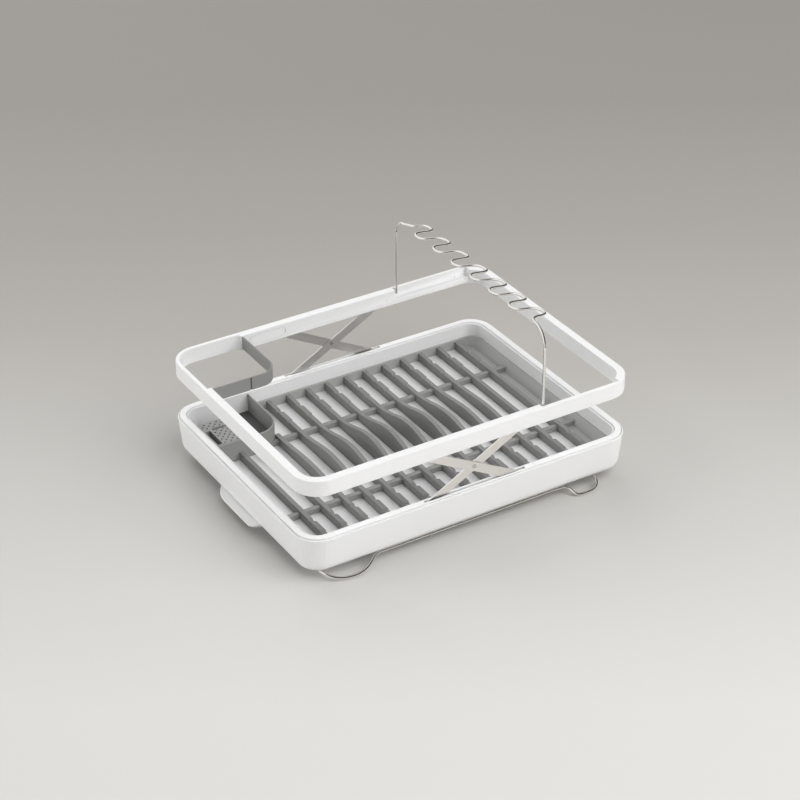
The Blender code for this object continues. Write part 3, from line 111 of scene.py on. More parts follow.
class Shader:
    """A small helper round one material's node tree."""

    def __init__(self, name):
        self.material = bpy.data.materials.new(name)
        self.material.use_nodes = True
        self.tree = self.material.node_tree
        self.surface = self.tree.nodes["Principled BSDF"]

    def node(self, kind):
        return self.tree.nodes.new(kind)

    def link(self, source, target):
        self.tree.links.new(source, target)

    def set(self, socket, value):
        self.surface.inputs[socket].default_value = value

    def position(self, stretch=(1.0, 1.0, 1.0), turn=(0.0, 0.0, 0.0)):
        """Object coordinates, turned and then stretched."""
        coordinates = self.node("ShaderNodeTexCoord")
        turned = self.node("ShaderNodeMapping")
        turned.inputs["Rotation"].default_value = turn
        stretched = self.node("ShaderNodeMapping")
        stretched.inputs["Scale"].default_value = stretch
        self.link(coordinates.outputs["Object"], turned.inputs["Vector"])
        self.link(turned.outputs["Vector"], stretched.inputs["Vector"])
        return stretched.outputs["Vector"]

    def noise(self, vector, scale, detail=2.0, roughness=0.5):
        made = self.node("ShaderNodeTexNoise")
        made.inputs["Scale"].default_value = scale
        made.inputs["Detail"].default_value = detail
        made.inputs["Roughness"].default_value = roughness
        self.link(vector, made.inputs["Vector"])
        return made.outputs["Fac"]

    def spread(self, source, low, high, start=0.25, end=0.75):
        """Map a value from one range to another; noise stays mostly in the middle half."""
        made = self.node("ShaderNodeMapRange")
        made.inputs["From Min"].default_value = start
        made.inputs["From Max"].default_value = end
        made.inputs["To Min"].default_value = low
        made.inputs["To Max"].default_value = high
        self.link(source, made.inputs["Value"])
        return made.outputs["Result"]

    def mixed(self, factor, first, second):
        """A colour between two colours."""
        made = self.node("ShaderNodeMix")
        made.data_type = "RGBA"
        first_socket, second_socket = [socket for socket in made.inputs if socket.type == "RGBA"]
        first_socket.default_value = (*first, 1.0)
        second_socket.default_value = (*second, 1.0)
        self.link(factor, made.inputs["Factor"])
        return [socket for socket in made.outputs if socket.type == "RGBA"][0]

    def bump(self, height, strength, distance):
        made = self.node("ShaderNodeBump")
        made.inputs["Strength"].default_value = strength
        made.inputs["Distance"].default_value = distance
        self.link(height, made.inputs["Height"])
        return made.outputs["Normal"]


def scaled(colour, factor):
    return tuple(channel * factor for channel in colour)


def moulded_plastic(name, colour, roughness, grain, grain_depth, mottle):
    """Satin moulded plastic: a fine spark-eroded grain, slow flow mottle and uneven gloss."""
    shader = Shader(name)
    place = shader.position()
    slow = shader.noise(place, MOTTLE_SCALE, MOTTLE_DETAIL)
    fine = shader.noise(place, grain, GRAIN_DETAIL, GRAIN_ROUGHNESS)
    darker = scaled(colour, 1.0 - mottle)
    lighter = scaled(colour, 1.0 + mottle)
    gloss = shader.spread(fine, roughness - GLOSS_VARIATION, roughness + GLOSS_VARIATION)
    tint = shader.mixed(shader.spread(slow, 0.0, 1.0), darker, lighter)
    shader.link(tint, shader.surface.inputs["Base Color"])
    shader.link(gloss, shader.surface.inputs["Roughness"])
    shader.link(shader.bump(fine, GRAIN_STRENGTH, grain_depth), shader.surface.inputs["Normal"])
    return shader.material


def white_plastic(name, brightness, roughness):
    colour = scaled(WHITE, brightness)
    return moulded_plastic(name, colour, roughness, WHITE_GRAIN, WHITE_GRAIN_DEPTH, WHITE_MOTTLE)


def grey_plastic(name, brightness, roughness):
    colour = scaled(GREY, brightness)
    return moulded_plastic(name, colour, roughness, GREY_GRAIN, GREY_GRAIN_DEPTH, GREY_MOTTLE)


def brushed_steel(name, slope):
    """Steel brushed along the bar: long streaks in colour, gloss and height."""
    shader = Shader(name)
    streaks = shader.position(stretch=BRUSH_STRETCH, turn=(0.0, slope, 0.0))
    streak = shader.noise(streaks, *BRUSH_NOISE)
    slow = shader.noise(shader.position(), BRUSH_GLOSS_SCALE)
    darker, lighter = [scaled(STEEL, factor) for factor in BRUSH_TINT]
    tint = shader.mixed(shader.spread(streak, 0.0, 1.0), darker, lighter)
    shader.link(tint, shader.surface.inputs["Base Color"])
    shader.link(shader.spread(slow, *BRUSH_GLOSS), shader.surface.inputs["Roughness"])
    shader.set("Metallic", 1.0)
    shader.link(shader.bump(streak, BRUSH_STRENGTH, BRUSH_DEPTH), shader.surface.inputs["Normal"])
    return shader.material


def polished_wire(name, colour):
    """Polished steel wire with faint draw marks."""
    shader = Shader(name)
    place = shader.position()
    marks = shader.noise(place, *DRAW_NOISE)
    slow = shader.noise(place, DRAW_TINT_SCALE)
    darker, lighter = [scaled(colour, factor) for factor in DRAW_TINT]
    tint = shader.mixed(shader.spread(slow, 0.0, 1.0), darker, lighter)
    shader.link(tint, shader.surface.inputs["Base Color"])
    shader.link(shader.spread(marks, *DRAW_GLOSS), shader.surface.inputs["Roughness"])
    shader.set("Metallic", 1.0)
    shader.link(shader.bump(marks, DRAW_STRENGTH, DRAW_DEPTH), shader.surface.inputs["Normal"])
    return shader.material


WHITE = (0.86, 0.86, 0.86)
GREY = (0.26, 0.26, 0.253)
STEEL = (0.97, 0.945, 0.91)
WIRE_STEEL = (0.92, 0.90, 0.87)
PIN_STEEL = (0.70, 0.69, 0.67)
BAR_SLOPE = math.radians(28.3)
# The factors on the base grey are fitted piece by piece to the levels in the photo's view, so they
# also make up for its light. The insert, its cross bars and the dividers are probably one plastic.
materials = {
    "shell": white_plastic("shell_white", 1.0, 0.36),
    "liner": white_plastic("liner_white", 0.99, 0.42),
    "rail": white_plastic("rail_white", 1.01, 0.34),
    "insert": grey_plastic("insert_grey", 1.5, 0.5),
    "cross_bar": grey_plastic("cross_bar_grey", 1.1, 0.5),
    "divider": grey_plastic("divider_grey", 0.93, 0.52),
    "caddy": grey_plastic("caddy_grey", 1.12, 0.48),
    "band": grey_plastic("band_grey", 1.0, 0.46),
    # A dark grey for painted shade, worn by the sheet on the caddy floor and by the tongue in the band's seam.
    "painted_shade": grey_plastic("painted_shade_grey", 0.34, 0.6),
    "rising": brushed_steel("steel_rising", BAR_SLOPE),
    "falling": brushed_steel("steel_falling", -BAR_SLOPE),
    "wire": polished_wire("wire_steel_polished", WIRE_STEEL),
    "pin": polished_wire("pin_steel", PIN_STEEL),
}
look_of_node = {
    "drip_tray": "shell", "lower_track_back": "shell", "lower_track_front": "shell", "tray_liner": "liner",
    "rim_cap": "rail", "rim_stop_back": "rail", "rim_stop_front": "rail",
    "top_frame": "rail", "blank_plate": "rail",
    "insert_cross_bar_back": "cross_bar", "insert_cross_bar_front": "cross_bar",
    "caddy_tub": "caddy", "caddy_grate": "caddy",
    "utensil_band_front": "band", "utensil_band_corner": "band",
    "rising_bar_back": "rising", "rising_bar_front": "rising",
    "falling_bar_back": "falling", "falling_bar_front": "falling",
}


def look_of(name):
    if name.startswith("plate_divider"):
        return "divider"
    if name.startswith("insert") and name not in look_of_node:
        return "insert"
    return look_of_node.get(name, "pin")


def smooth(mesh):
    mesh.shade_smooth()
    mesh.set_sharp_from_angle(angle=SMOOTH_ANGLE)


def dress(obj, key):
    obj.data.materials.clear()
    obj.data.materials.append(materials[key])


def add_piece(obj, key, node, replaces=True):
    """Give a new piece its finish, and carry it on the body of the node that it belongs to."""
    dress(obj, key)
    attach(obj, body_of_node[node])
    if replaces:
        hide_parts(node)


def mesh_piece(name, bm, key, node, replaces=True):
    bmesh.ops.recalc_face_normals(bm, faces=bm.faces[:])
    mesh = bpy.data.meshes.new(name)
    bm.to_mesh(mesh)
    bm.free()
    smooth(mesh)
    piece = bpy.data.objects.new(name, mesh)
    bpy.context.collection.objects.link(piece)
    add_piece(piece, key, node, replaces)
    return piece


def even_normals(piece):
    """Keep flat faces flat next to their rounded edges."""
    even = piece.modifiers.new("even_normals", "WEIGHTED_NORMAL")
    even.keep_sharp = True


def ease_edges(piece, width):
    bevel = piece.modifiers.new("eased_edges", "BEVEL")
    bevel.width = width
    bevel.segments = EASE_SEGMENTS
    bevel.limit_method = "ANGLE"
    bevel.angle_limit = EASE_ANGLE
    bevel.use_clamp_overlap = True
    even_normals(piece)


def packed_mesh(node):
    """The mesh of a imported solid, welded and with its flat faces whole."""
    bm = bmesh.new()
    bm.from_mesh(nodes[node].data)
    bmesh.ops.remove_doubles(bm, verts=bm.verts[:], dist=WELD_DISTANCE)
    bmesh.ops.dissolve_limit(bm, angle_limit=FLAT_ANGLE, verts=bm.verts[:], edges=bm.edges[:])
    return bm


def eased_copy(node, width):
    """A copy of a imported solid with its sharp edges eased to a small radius."""
    ease_edges(mesh_piece(node + "_moulding", packed_mesh(node), look_of(node), node), width)


# Top frame: the thinner wall round the utensil band, and its outer top edge
FRAME_CORNER = 35.0 * MM
FRAME_WALL = 11.0 * MM
FRAME_EDGE = 2.4 * MM
FRAME_EDGE_SHARE = 0.5
FRAME_INNER_ZONE = 1.5 * MM
RECESS_DEPTH = 5.5 * MM
RECESS_STEP_INSET = 105.2 * MM
RECESS_STEP = 0.4 * MM
RECESS_RAMP = ((103.8 * MM, 0.0), (102.8 * MM, 0.55), (100.4 * MM, 0.88), (96.5 * MM, 1.0))


def recess_share(x, y, low, high):
    """How much of the recess the inner wall of the top frame has at a place, from 0 to 1."""
    if y < high.y - RECESS_STEP_INSET:
        return 0.0
    inset = x - low.x
    if y < high.y - FRAME_CORNER and inset < FRAME_CORNER:
        return 1.0
    for (far, less), (near, more) in zip(RECESS_RAMP[:-1], RECESS_RAMP[1:]):
        if near <= inset <= far:
            return more + (less - more) * (inset - near) / (far - near)
    return 1.0 if inset < RECESS_RAMP[-1][0] else 0.0


def make_frame_moulding():
    """The top frame with a thinner wall round the utensil band and a crisper outer edge."""
    low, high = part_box("top_frame")
    centre = (low + high) / 2
    straight = Vector((high.x - centre.x - FRAME_CORNER, high.y - centre.y - FRAME_CORNER))
    bm = packed_mesh("top_frame")
    step_y = high.y - RECESS_STEP_INSET
    cuts = [((0.0, y, 0.0), (0.0, 1.0, 0.0)) for y in (step_y - RECESS_STEP, step_y)]
    cuts += [((low.x + inset, 0.0, 0.0), (1.0, 0.0, 0.0)) for inset, _ in RECESS_RAMP]
    for place, normal in cuts:
        whole = bm.verts[:] + bm.edges[:] + bm.faces[:]
        bmesh.ops.bisect_plane(bm, geom=whole, plane_co=place, plane_no=normal)
    for vert in bm.verts:
        x, y, z = vert.co
        beyond = Vector((abs(x - centre.x) - straight.x, abs(y - centre.y) - straight.y))
        level = Vector((max(beyond.x, 0.0), max(beyond.y, 0.0)))
        if level.length == 0.0:
            continue
        out = Vector((math.copysign(level.x, x - centre.x), math.copysign(level.y, y - centre.y)))
        out.normalize()
        inset = FRAME_CORNER - level.length
        shift = 0.0
        if inset < FRAME_EDGE and z > high.z - FRAME_EDGE - PLACE_PLAY:
            shift = inset * (1 - FRAME_EDGE_SHARE)
            vert.co.z = high.z - (high.z - z) * FRAME_EDGE_SHARE
        elif inset > FRAME_WALL - FRAME_INNER_ZONE:
            shift = RECESS_DEPTH * recess_share(x, y + PLACE_PLAY, low, high)
        vert.co.x += out.x * shift
        vert.co.y += out.y * shift
    even_normals(mesh_piece("top_frame_moulding", bm, "rail", "top_frame"))


# Perforated grate: hole pattern from its front left corner, slots as left, front, length, depth
GRATE_PLATE = 0.8 * MM
GRATE_WALL = 1.8 * MM
HOLE_RADIUS = 1.35 * MM
HOLE_SIDES = 12
HOLE_FIRST = (5.1 * MM, 3.4 * MM)
HOLE_STEP = (4.45 * MM, 4.55 * MM)
HOLE_MARGIN = 2.4 * MM
HOLE_CLEAR = 2.6 * MM
KNIFE_SLOT = (3.7 * MM, 2.4 * MM, 6.7 * MM, 35.4 * MM)
CROSS_SLOT = (13.7 * MM, 38.6 * MM, 24.5 * MM, 2.4 * MM)
CROSS_SLOT_SHOWN = (13.7 * MM, 37.1 * MM, 24.5 * MM, 4.2 * MM)
KNIFE_DEPTH = 17.0 * MM
CROSS_DEPTH = 4.5 * MM
TROUGH_WALL = 0.5 * MM


def rectangle(left, front, length, depth):
    return [(left, front), (left + length, front), (left + length, front + depth), (left, front + depth)]


def near_slot(x, y, slot):
    left, front, length, depth = slot
    across = left - HOLE_CLEAR < x < left + length + HOLE_CLEAR
    return across and front - HOLE_CLEAR < y < front + depth + HOLE_CLEAR


def hole_centres(length, depth):
    row = 0
    y = HOLE_FIRST[1]
    while y < depth - HOLE_MARGIN:
        x = HOLE_FIRST[0] + HOLE_STEP[0] * (row % 2)
        while x < length - HOLE_MARGIN:
            if not near_slot(x, y, KNIFE_SLOT) and not near_slot(x, y, CROSS_SLOT):
                yield x, y
            x += HOLE_STEP[0] * 2
        y += HOLE_STEP[1]
        row += 1


def add_loop(bm, places, low, z):
    return [bm.verts.new((low.x + x, low.y + y, z)) for x, y in places]


def close_loop(bm, row):
    return [bm.edges.new((row[k], row[(k + 1) % len(row)])) for k in range(len(row))]


def skirt(bm, row, following):
    for k in range(len(row)):
        m = (k + 1) % len(row)
        bm.faces.new((row[k], row[m], following[m], following[k]))


def close_prism(bm, under, over):
    """Walls between two loops, and a face on each."""
    skirt(bm, under, over)
    bm.faces.new(under)
    bm.faces.new(over)


def make_grate():
    """The grate as a thin plate full of holes on four walls."""
    low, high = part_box("caddy_grate")
    length = high.x - low.x
    depth = high.y - low.y
    turn = 2 * math.pi / HOLE_SIDES
    holes = [rectangle(*KNIFE_SLOT), rectangle(*CROSS_SLOT_SHOWN)]
    for x, y in hole_centres(length, depth):
        holes.append([(x + HOLE_RADIUS * math.cos(turn * k), y + HOLE_RADIUS * math.sin(turn * k))
                      for k in range(HOLE_SIDES)])
    outer = rectangle(0.0, 0.0, length, depth)
    inner = rectangle(GRATE_WALL, GRATE_WALL, length - 2 * GRATE_WALL, depth - 2 * GRATE_WALL)
    bm = bmesh.new()
    levels = []
    for z, border in ((high.z, outer), (high.z - GRATE_PLATE, inner)):
        rim = add_loop(bm, border, low, z)
        rows = [add_loop(bm, hole, low, z) for hole in holes]
        edges = close_loop(bm, rim)
        for row in rows:
            edges += close_loop(bm, row)
        bmesh.ops.triangle_fill(bm, use_beauty=True, edges=edges)
        levels.append((rim, rows))
    (top_rim, top_rows), (under_rim, under_rows) = levels
    for row, following in zip(top_rows, under_rows):
        skirt(bm, row, following)
    outer_foot = add_loop(bm, outer, low, low.z)
    inner_foot = add_loop(bm, inner, low, low.z)
    skirt(bm, top_rim, outer_foot)
    skirt(bm, outer_foot, inner_foot)
    skirt(bm, inner_foot, under_rim)
    mesh_piece("caddy_grate_moulding", bm, "caddy", "caddy_grate")
    make_trough("knife_slot_trough", KNIFE_SLOT, KNIFE_DEPTH, low, high.z - GRATE_PLATE)
    make_trough("cross_slot_trough", CROSS_SLOT_SHOWN, CROSS_DEPTH, low, high.z - GRATE_PLATE)


def make_trough(name, slot, deep, low, top):
    """Walls and a bottom under a slot of the grate."""
    left, front, length, depth = slot
    wall = TROUGH_WALL
    inside = rectangle(*slot)
    outside = rectangle(left - wall, front - wall, length + 2 * wall, depth + 2 * wall)
    bm = bmesh.new()
    rows = [add_loop(bm, inside, low, top - deep), add_loop(bm, inside, low, top),
            add_loop(bm, outside, low, top), add_loop(bm, outside, low, top - deep - wall)]
    for row, following in zip(rows[:-1], rows[1:]):
        skirt(bm, row, following)
    bm.faces.new(rows[0])
    bm.faces.new(rows[-1])
    mesh_piece(name, bm, "caddy", "caddy_grate", replaces=False)


def arc_places(centre, radius, start, end, steps):
    """Places on an arc, angles in degrees."""
    angles = [math.radians(start + (end - start) * k / steps) for k in range(steps + 1)]
    return [(centre[0] + radius * math.cos(angle), centre[1] + radius * math.sin(angle)) for angle in angles]


# Dark sheet on the floor of the caddy, inside its wall: painted shade where the deep floor lies in shade
CADDY_FLOOR_TOP = 36.0 * MM
CADDY_WALL = 2.0 * MM
CADDY_CORNER = 30.0 * MM
SHADE_SHEET_MARGIN = 0.5 * MM
SHADE_SHEET_THICKNESS = 0.7 * MM
SHADE_SHEET_STEPS = 10


def make_caddy_shade_sheet():
    """A thin dark sheet that fills the caddy's floor beside and behind the grate: painted shade on a floor that is
    only in shade.
    """
    low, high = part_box("caddy_tub")
    grate_low, grate_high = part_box("caddy_grate")
    right = high.x - CADDY_WALL - SHADE_SHEET_MARGIN
    front = low.y + CADDY_WALL + SHADE_SHEET_MARGIN
    back = high.y - SHADE_SHEET_MARGIN
    left = grate_low.x + SHADE_SHEET_MARGIN
    radius = CADDY_CORNER - SHADE_SHEET_MARGIN
    outline = [(grate_high.x + SHADE_SHEET_MARGIN, front)]
    outline += arc_places((right - radius, front + radius), radius, -90.0, 0.0, SHADE_SHEET_STEPS)
    outline += [(right, back), (left, back), (left, grate_high.y + SHADE_SHEET_MARGIN),
                (grate_high.x + SHADE_SHEET_MARGIN, grate_high.y + SHADE_SHEET_MARGIN)]
    bm = bmesh.new()
    origin = Vector((0.0, 0.0, 0.0))
    under = add_loop(bm, outline, origin, CADDY_FLOOR_TOP)
    over = add_loop(bm, outline, origin, CADDY_FLOOR_TOP + SHADE_SHEET_THICKNESS)
    close_prism(bm, under, over)
    mesh_piece("caddy_floor_shade_sheet", bm, "painted_shade", "caddy_tub", replaces=False)


# Band: the open seam between its two lengths, with a tongue behind it
SEAM_OPENING = 1.7 * MM
TONGUE_INSET = 0.6 * MM
TONGUE_HALF = 5.0 * MM
BAND_EASE = 0.5 * MM
TONGUE_EASE = 0.2 * MM


def make_band():
    """Both lengths of the utensil band, with an open seam over a tongue."""
    front_low, front_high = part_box("utensil_band_front")
    seam = front_high.x
    for node, side in (("utensil_band_front", -1.0), ("utensil_band_corner", 1.0)):
        bm = packed_mesh(node)
        for vert in bm.verts:
            if abs(vert.co.x - seam) < MM and vert.co.y < front_high.y + MM:
                vert.co.x += side * SEAM_OPENING / 2
        ease_edges(mesh_piece(node + "_moulding", bm, "band", node), BAND_EASE)
    low = Vector((seam - TONGUE_HALF, front_low.y + TONGUE_INSET, front_low.z + TONGUE_INSET))
    high = Vector((seam + TONGUE_HALF, front_high.y - TONGUE_INSET, front_high.z - TONGUE_INSET))
    bm = bmesh.new()
    outline = rectangle(0.0, 0.0, high.x - low.x, high.y - low.y)
    under = add_loop(bm, outline, low, low.z)
    over = add_loop(bm, outline, low, high.z)
    close_prism(bm, under, over)
    # The tongue wears the dark painted-shade grey, so the seam shows a painted shadow.
    tongue = mesh_piece("utensil_band_tongue", bm, "painted_shade", "utensil_band_front", replaces=False)
    ease_edges(tongue, TONGUE_EASE)


# Small moulded bumps on the inner face of the back rail: place along the rail, height, radius
RAIL_BUMPS = ((88.8 * MM, 138.2 * MM, 1.5 * MM), (197.6 * MM, 143.4 * MM, 1.2 * MM))
BUMP_RISE = 0.6 * MM
PLATE_SHRINK = 0.45 * MM
PLATE_EASE = 0.3 * MM
PLATE_END_STEPS = 20


def quarter_angles(steps):
    """Angles that split a quarter turn, without its start."""
    return [math.pi / 2 * step / steps for step in range(1, steps + 1)]


def lathe_y(bm, centre, profile):
    """Turn a profile of (radius, distance along Y) round an axis along Y."""
    rows = []
    turn = 2 * math.pi / LATHE_SIDES
    for radius, along in profile:
        if radius == 0.0:
            rows.append([bm.verts.new((centre.x, centre.y + along, centre.z))])
            continue
        rows.append([bm.verts.new((centre.x + radius * math.cos(turn * k), centre.y + along,
                                   centre.z + radius * math.sin(turn * k))) for k in range(LATHE_SIDES)])
    for row, following in zip(rows[:-1], rows[1:]):
        if len(row) == 1:
            for k in range(LATHE_SIDES):
                bm.faces.new((row[0], following[k], following[(k + 1) % LATHE_SIDES]))
        elif len(following) == 1:
            for k in range(LATHE_SIDES):
                bm.faces.new((row[k], row[(k + 1) % LATHE_SIDES], following[0]))
        else:
            skirt(bm, row, following)


def make_rail_details():
    """Two low bumps on the back rail, and the flush plate with a shadow gap round it."""
    plate_low, plate_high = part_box("blank_plate")
    face = plate_low.y
    for number, (x, z, radius) in enumerate(RAIL_BUMPS, 1):
        profile = [(0.0, -BUMP_RISE)]
        for angle in quarter_angles(DOME_STEPS):
            profile.append((radius * math.sin(angle), -BUMP_RISE * math.cos(angle)))
        profile += [(radius, BUMP_RISE), (0.0, BUMP_RISE)]
        bm = bmesh.new()
        lathe_y(bm, Vector((x, face, z)), profile)
        mesh_piece("back_rail_bump_%d" % number, bm, "rail", "top_frame", replaces=False)
    centre = (plate_low + plate_high) / 2
    half_height = (plate_high.z - plate_low.z) / 2
    straight = (plate_high.x - plate_low.x) / 2 - half_height
    radius = half_height - PLATE_SHRINK
    outline = arc_places((centre.x + straight, centre.z), radius, -90.0, 90.0, PLATE_END_STEPS)
    outline += arc_places((centre.x - straight, centre.z), radius, 90.0, 270.0, PLATE_END_STEPS)
    bm = bmesh.new()
    under = [bm.verts.new((x, plate_high.y, z)) for x, z in outline]
    over = [bm.verts.new((x, face, z)) for x, z in outline]
    close_prism(bm, under, over)
    ease_edges(mesh_piece("blank_plate_moulding", bm, "rail", "blank_plate"), PLATE_EASE)


def dress_cad():
    """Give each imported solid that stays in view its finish."""
    for name, obj in nodes.items():
        dress(obj, look_of(name))


# Nodes whose sharp edges get the small radius that a mould leaves
MOULD_EDGE = 0.5 * MM
EASED_NODES = ("caddy_tub", "insert_cross_bar_back", "insert_cross_bar_front")


def smooth_path(points, spacing):
    """Points at a near-even spacing on a Catmull-Rom curve through the given points."""
    dense = []
    for k in range(len(points) - 1):
        p0 = points[max(k - 1, 0)]
        p1 = points[k]
        p2 = points[k + 1]
        p3 = points[min(k + 2, len(points) - 1)]
        parts = max(int((p2 - p1).length / spacing + 0.5), 1)
        for step in range(parts):
            t = step / parts
            dense.append(0.5 * (2 * p1 + (p2 - p0) * t + (2 * p0 - 5 * p1 + 4 * p2 - p3) * t ** 2
                                + (3 * p1 - p0 - 3 * p2 + p3) * t ** 3))
    dense.append(points[-1])
    return dense


def wire(name, points, radius, cyclic, node):
    """A round wire that stands for a packed one."""
    curve = bpy.data.curves.new(name, "CURVE")
    curve.dimensions = "3D"
    spline = curve.splines.new("POLY")
    spline.points.add(len(points) - 1)
    for place, point in zip(spline.points, points):
        place.co = (*point, 1.0)
    spline.use_cyclic_u = cyclic
    spline.use_smooth = True
    curve.bevel_depth = radius
    curve.bevel_resolution = WIRE_ROUNDNESS
    curve.use_fill_caps = not cyclic
    piece = bpy.data.objects.new(name, curve)
    bpy.context.collection.objects.link(piece)
    add_piece(piece, "wire", node)
    return piece


# Stemware wire
STEM_RADIUS = 1.8 * MM
STEM_PIN = 6.4 * MM
STEM_ELBOW = 2.4 * MM
STEM_REACH = 27.5 * MM
STEM_LEAD = 44.2 * MM
STEM_TAIL = 41.2 * MM
STEM_LOOPS = 6
STEM_BELOW = 0.15 * MM
BACK_BEND = (16.0 * MM, 11.0 * MM)
FRONT_BEND = (24.5 * MM, 28.7 * MM)
BEND_STEPS = 8
# How far the wire still stands off its posts where each bend begins, as a share of the reach
BEND_SHARE = 0.13
# One wave from a right tip to the next: reach share, pitch share
WAVE_SHARES = ((1.0, 0.0), (0.97, 0.055), (0.82, 0.075), (0.5, 0.025), (0.25, 0.0), (0.08, 0.04),
               (0.0, 0.14), (0.01, 0.29), (0.14, 0.43), (0.42, 0.51), (0.7, 0.575), (0.88, 0.67),
               (0.97, 0.8), (1.0, 0.92))
# Run from the back bend to the first tip: reach share, share of the way along Y
LEAD_SHARES = ((0.16, 0.07), (0.3, 0.25), (0.42, 0.42), (0.7, 0.53), (0.92, 0.65), (1.0, 0.83))
# Run from the last tip to the front bend: reach share, share of the way along Y
TAIL_SHARES = ((0.97, 0.11), (0.78, 0.23), (0.5, 0.17), (0.27, 0.34), (0.17, 0.75))


def stem_side(side, bend, hinge, post_y, top):
    """From the pin in the top frame up its elbow and post, and round the bend to the hooks' level."""
    drop, reach = bend
    places = [(0.0, STEM_PIN, hinge.z), (0.0, STEM_ELBOW, hinge.z)]
    for angle in quarter_angles(DOME_STEPS):
        places.append((0.0, STEM_ELBOW * (1 - math.sin(angle)),
                       hinge.z + STEM_ELBOW * (1 - math.cos(angle))))
    places.append((0.0, 0.0, (hinge.z + top - drop) / 2))
    places.append((0.0, 0.0, top - drop))
    for angle in quarter_angles(BEND_STEPS)[:-1]:
        places.append((STEM_REACH * BEND_SHARE * math.sin(angle) ** 2, -reach * (1 - math.cos(angle)),
                       top - drop * (1 - math.sin(angle))))
    places.append((STEM_REACH * BEND_SHARE, -reach, top))
    return [Vector((hinge.x + x, side * (post_y + y), z)) for x, y, z in places]


def make_stem_wire():
    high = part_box("stemware_holder")[1]
    hinge = Vector(joints["stemware_fold"]["pos_m"])
    post_y = high.y - STEM_PIN
    top = high.z - STEM_RADIUS - STEM_BELOW
    back = stem_side(1.0, BACK_BEND, hinge, post_y, top)
    front = stem_side(-1.0, FRONT_BEND, hinge, post_y, top)
    first_y = post_y - STEM_LEAD
    pitch = (first_y + post_y - STEM_TAIL) / STEM_LOOPS
    last_y = first_y - pitch * STEM_LOOPS
    lead_start = post_y - BACK_BEND[1]
    tail_end = FRONT_BEND[1] - post_y
    top_run = [(reach, lead_start + (first_y - lead_start) * along) for reach, along in LEAD_SHARES]
    for loop in range(STEM_LOOPS):
        top_run += [(reach, first_y - pitch * (loop + along)) for reach, along in WAVE_SHARES]
    top_run.append((1.0, last_y))
    top_run += [(reach, last_y + (tail_end - last_y) * along) for reach, along in TAIL_SHARES]
    hooks = [Vector((hinge.x + STEM_REACH * reach, y, top)) for reach, y in top_run]
    points = smooth_path(back + hooks + front[::-1], WIRE_SPACING)
    wire("stemware_wire", points, STEM_RADIUS, False, "stemware_holder")


# Wire foot frame
FOOT_RADIUS = 2.0 * MM
FOOT_REACH = 15.5 * MM
FOOT_LEFT_LENGTH = 81.0 * MM
FOOT_RIGHT_LENGTH = 56.0 * MM
# Each loop from the front run to the side run: share of its length, share of its reach
LEFT_LOOP_SHARES = ((-0.1, 0.0), (0.0, 0.02), (0.08, 0.15), (0.17, 0.45), (0.27, 0.74), (0.38, 0.92),
                    (0.52, 1.0), (0.68, 0.92), (0.79, 0.77), (0.89, 0.5), (0.96, 0.17), (0.99, -0.15),
                    (1.0, -0.5))
RIGHT_LOOP_SHARES = ((-0.1, 0.0), (0.0, 0.01), (0.13, 0.05), (0.22, 0.18), (0.275, 0.4), (0.32, 0.73),
                     (0.4, 0.95), (0.6, 1.0), (0.78, 0.96), (0.89, 0.83), (0.965, 0.59), (0.99, 0.25),
                     (1.0, -0.2))


def make_foot_wire():
    low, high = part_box("wire_foot_frame")
    run_z = high.z - FOOT_RADIUS
    drop = run_z - FOOT_RADIUS
    run_y = high.y - FOOT_RADIUS - FOOT_REACH
    points = []
    for side in (-1.0, 1.0):
        loops = []
        for shares, x_end, length in ((LEFT_LOOP_SHARES, low.x + FOOT_RADIUS, FOOT_LEFT_LENGTH),
                                      (RIGHT_LOOP_SHARES, high.x - FOOT_RADIUS, -FOOT_RIGHT_LENGTH)):
            places = [Vector((x_end + length * (1 - along), side * (run_y + FOOT_REACH * out),
                              run_z - drop * max(out, 0.0))) for along, out in shares]
            loops.append(smooth_path(places, WIRE_SPACING))
        half = loops[0][::-1] + loops[1]
        points += half if side < 0 else half[::-1]
    wire("foot_wire", points, FOOT_RADIUS, True, "wire_foot_frame")


# Centre rivets of the scissor bars
RIVET_DOME = 0.4 * MM
SHANK_RADIUS = 2.0 * MM


def make_rivet(node):
    """A rivet with a shallow dome on each face of the pair of bars."""
    low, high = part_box(node)
    centre = (low + high) / 2
    head_radius = (high.x - low.x) / 2
    half = (high.y - low.y) / 2
    face = half - RIVET_DOME
    profile = [(0.0, half)]
    for angle in quarter_angles(DOME_STEPS):
        profile.append((head_radius * math.sin(angle), face + RIVET_DOME * math.cos(angle)))
    profile.append((SHANK_RADIUS, face))
    profile += [(radius, -along) for radius, along in profile[::-1]]
    bm = bmesh.new()
    lathe_y(bm, centre, profile)
    mesh_piece(node + "_domed", bm, "pin", node)


dress_cad()
for eased_node in EASED_NODES:
    eased_copy(eased_node, MOULD_EDGE)
make_frame_moulding()
make_grate()
make_caddy_shade_sheet()
make_band()
make_rail_details()
make_stem_wire()
make_foot_wire()
make_rivet("centre_rivet_back")
make_rivet("centre_rivet_front")

# Floor, fitted to the photo's background: distance behind the rack's middle in metres, colour
FLOOR_HALF = 9.0
FLOOR_ROUGHNESS = 0.9
FLOOR_SPECULAR = 0.1
# The colour runs from light in front to darker behind: painted fall-off of light across the floor.
FLOOR_PAINTED_FALLOFF = (
    (-0.50, (0.705, 0.694, 0.672)),
    (0.0, (0.570, 0.560, 0.533)),
    (0.36, (0.452, 0.434, 0.410)),
    (0.65, (0.392, 0.376, 0.353)),
    (1.15, (0.340, 0.326, 0.306)),
)


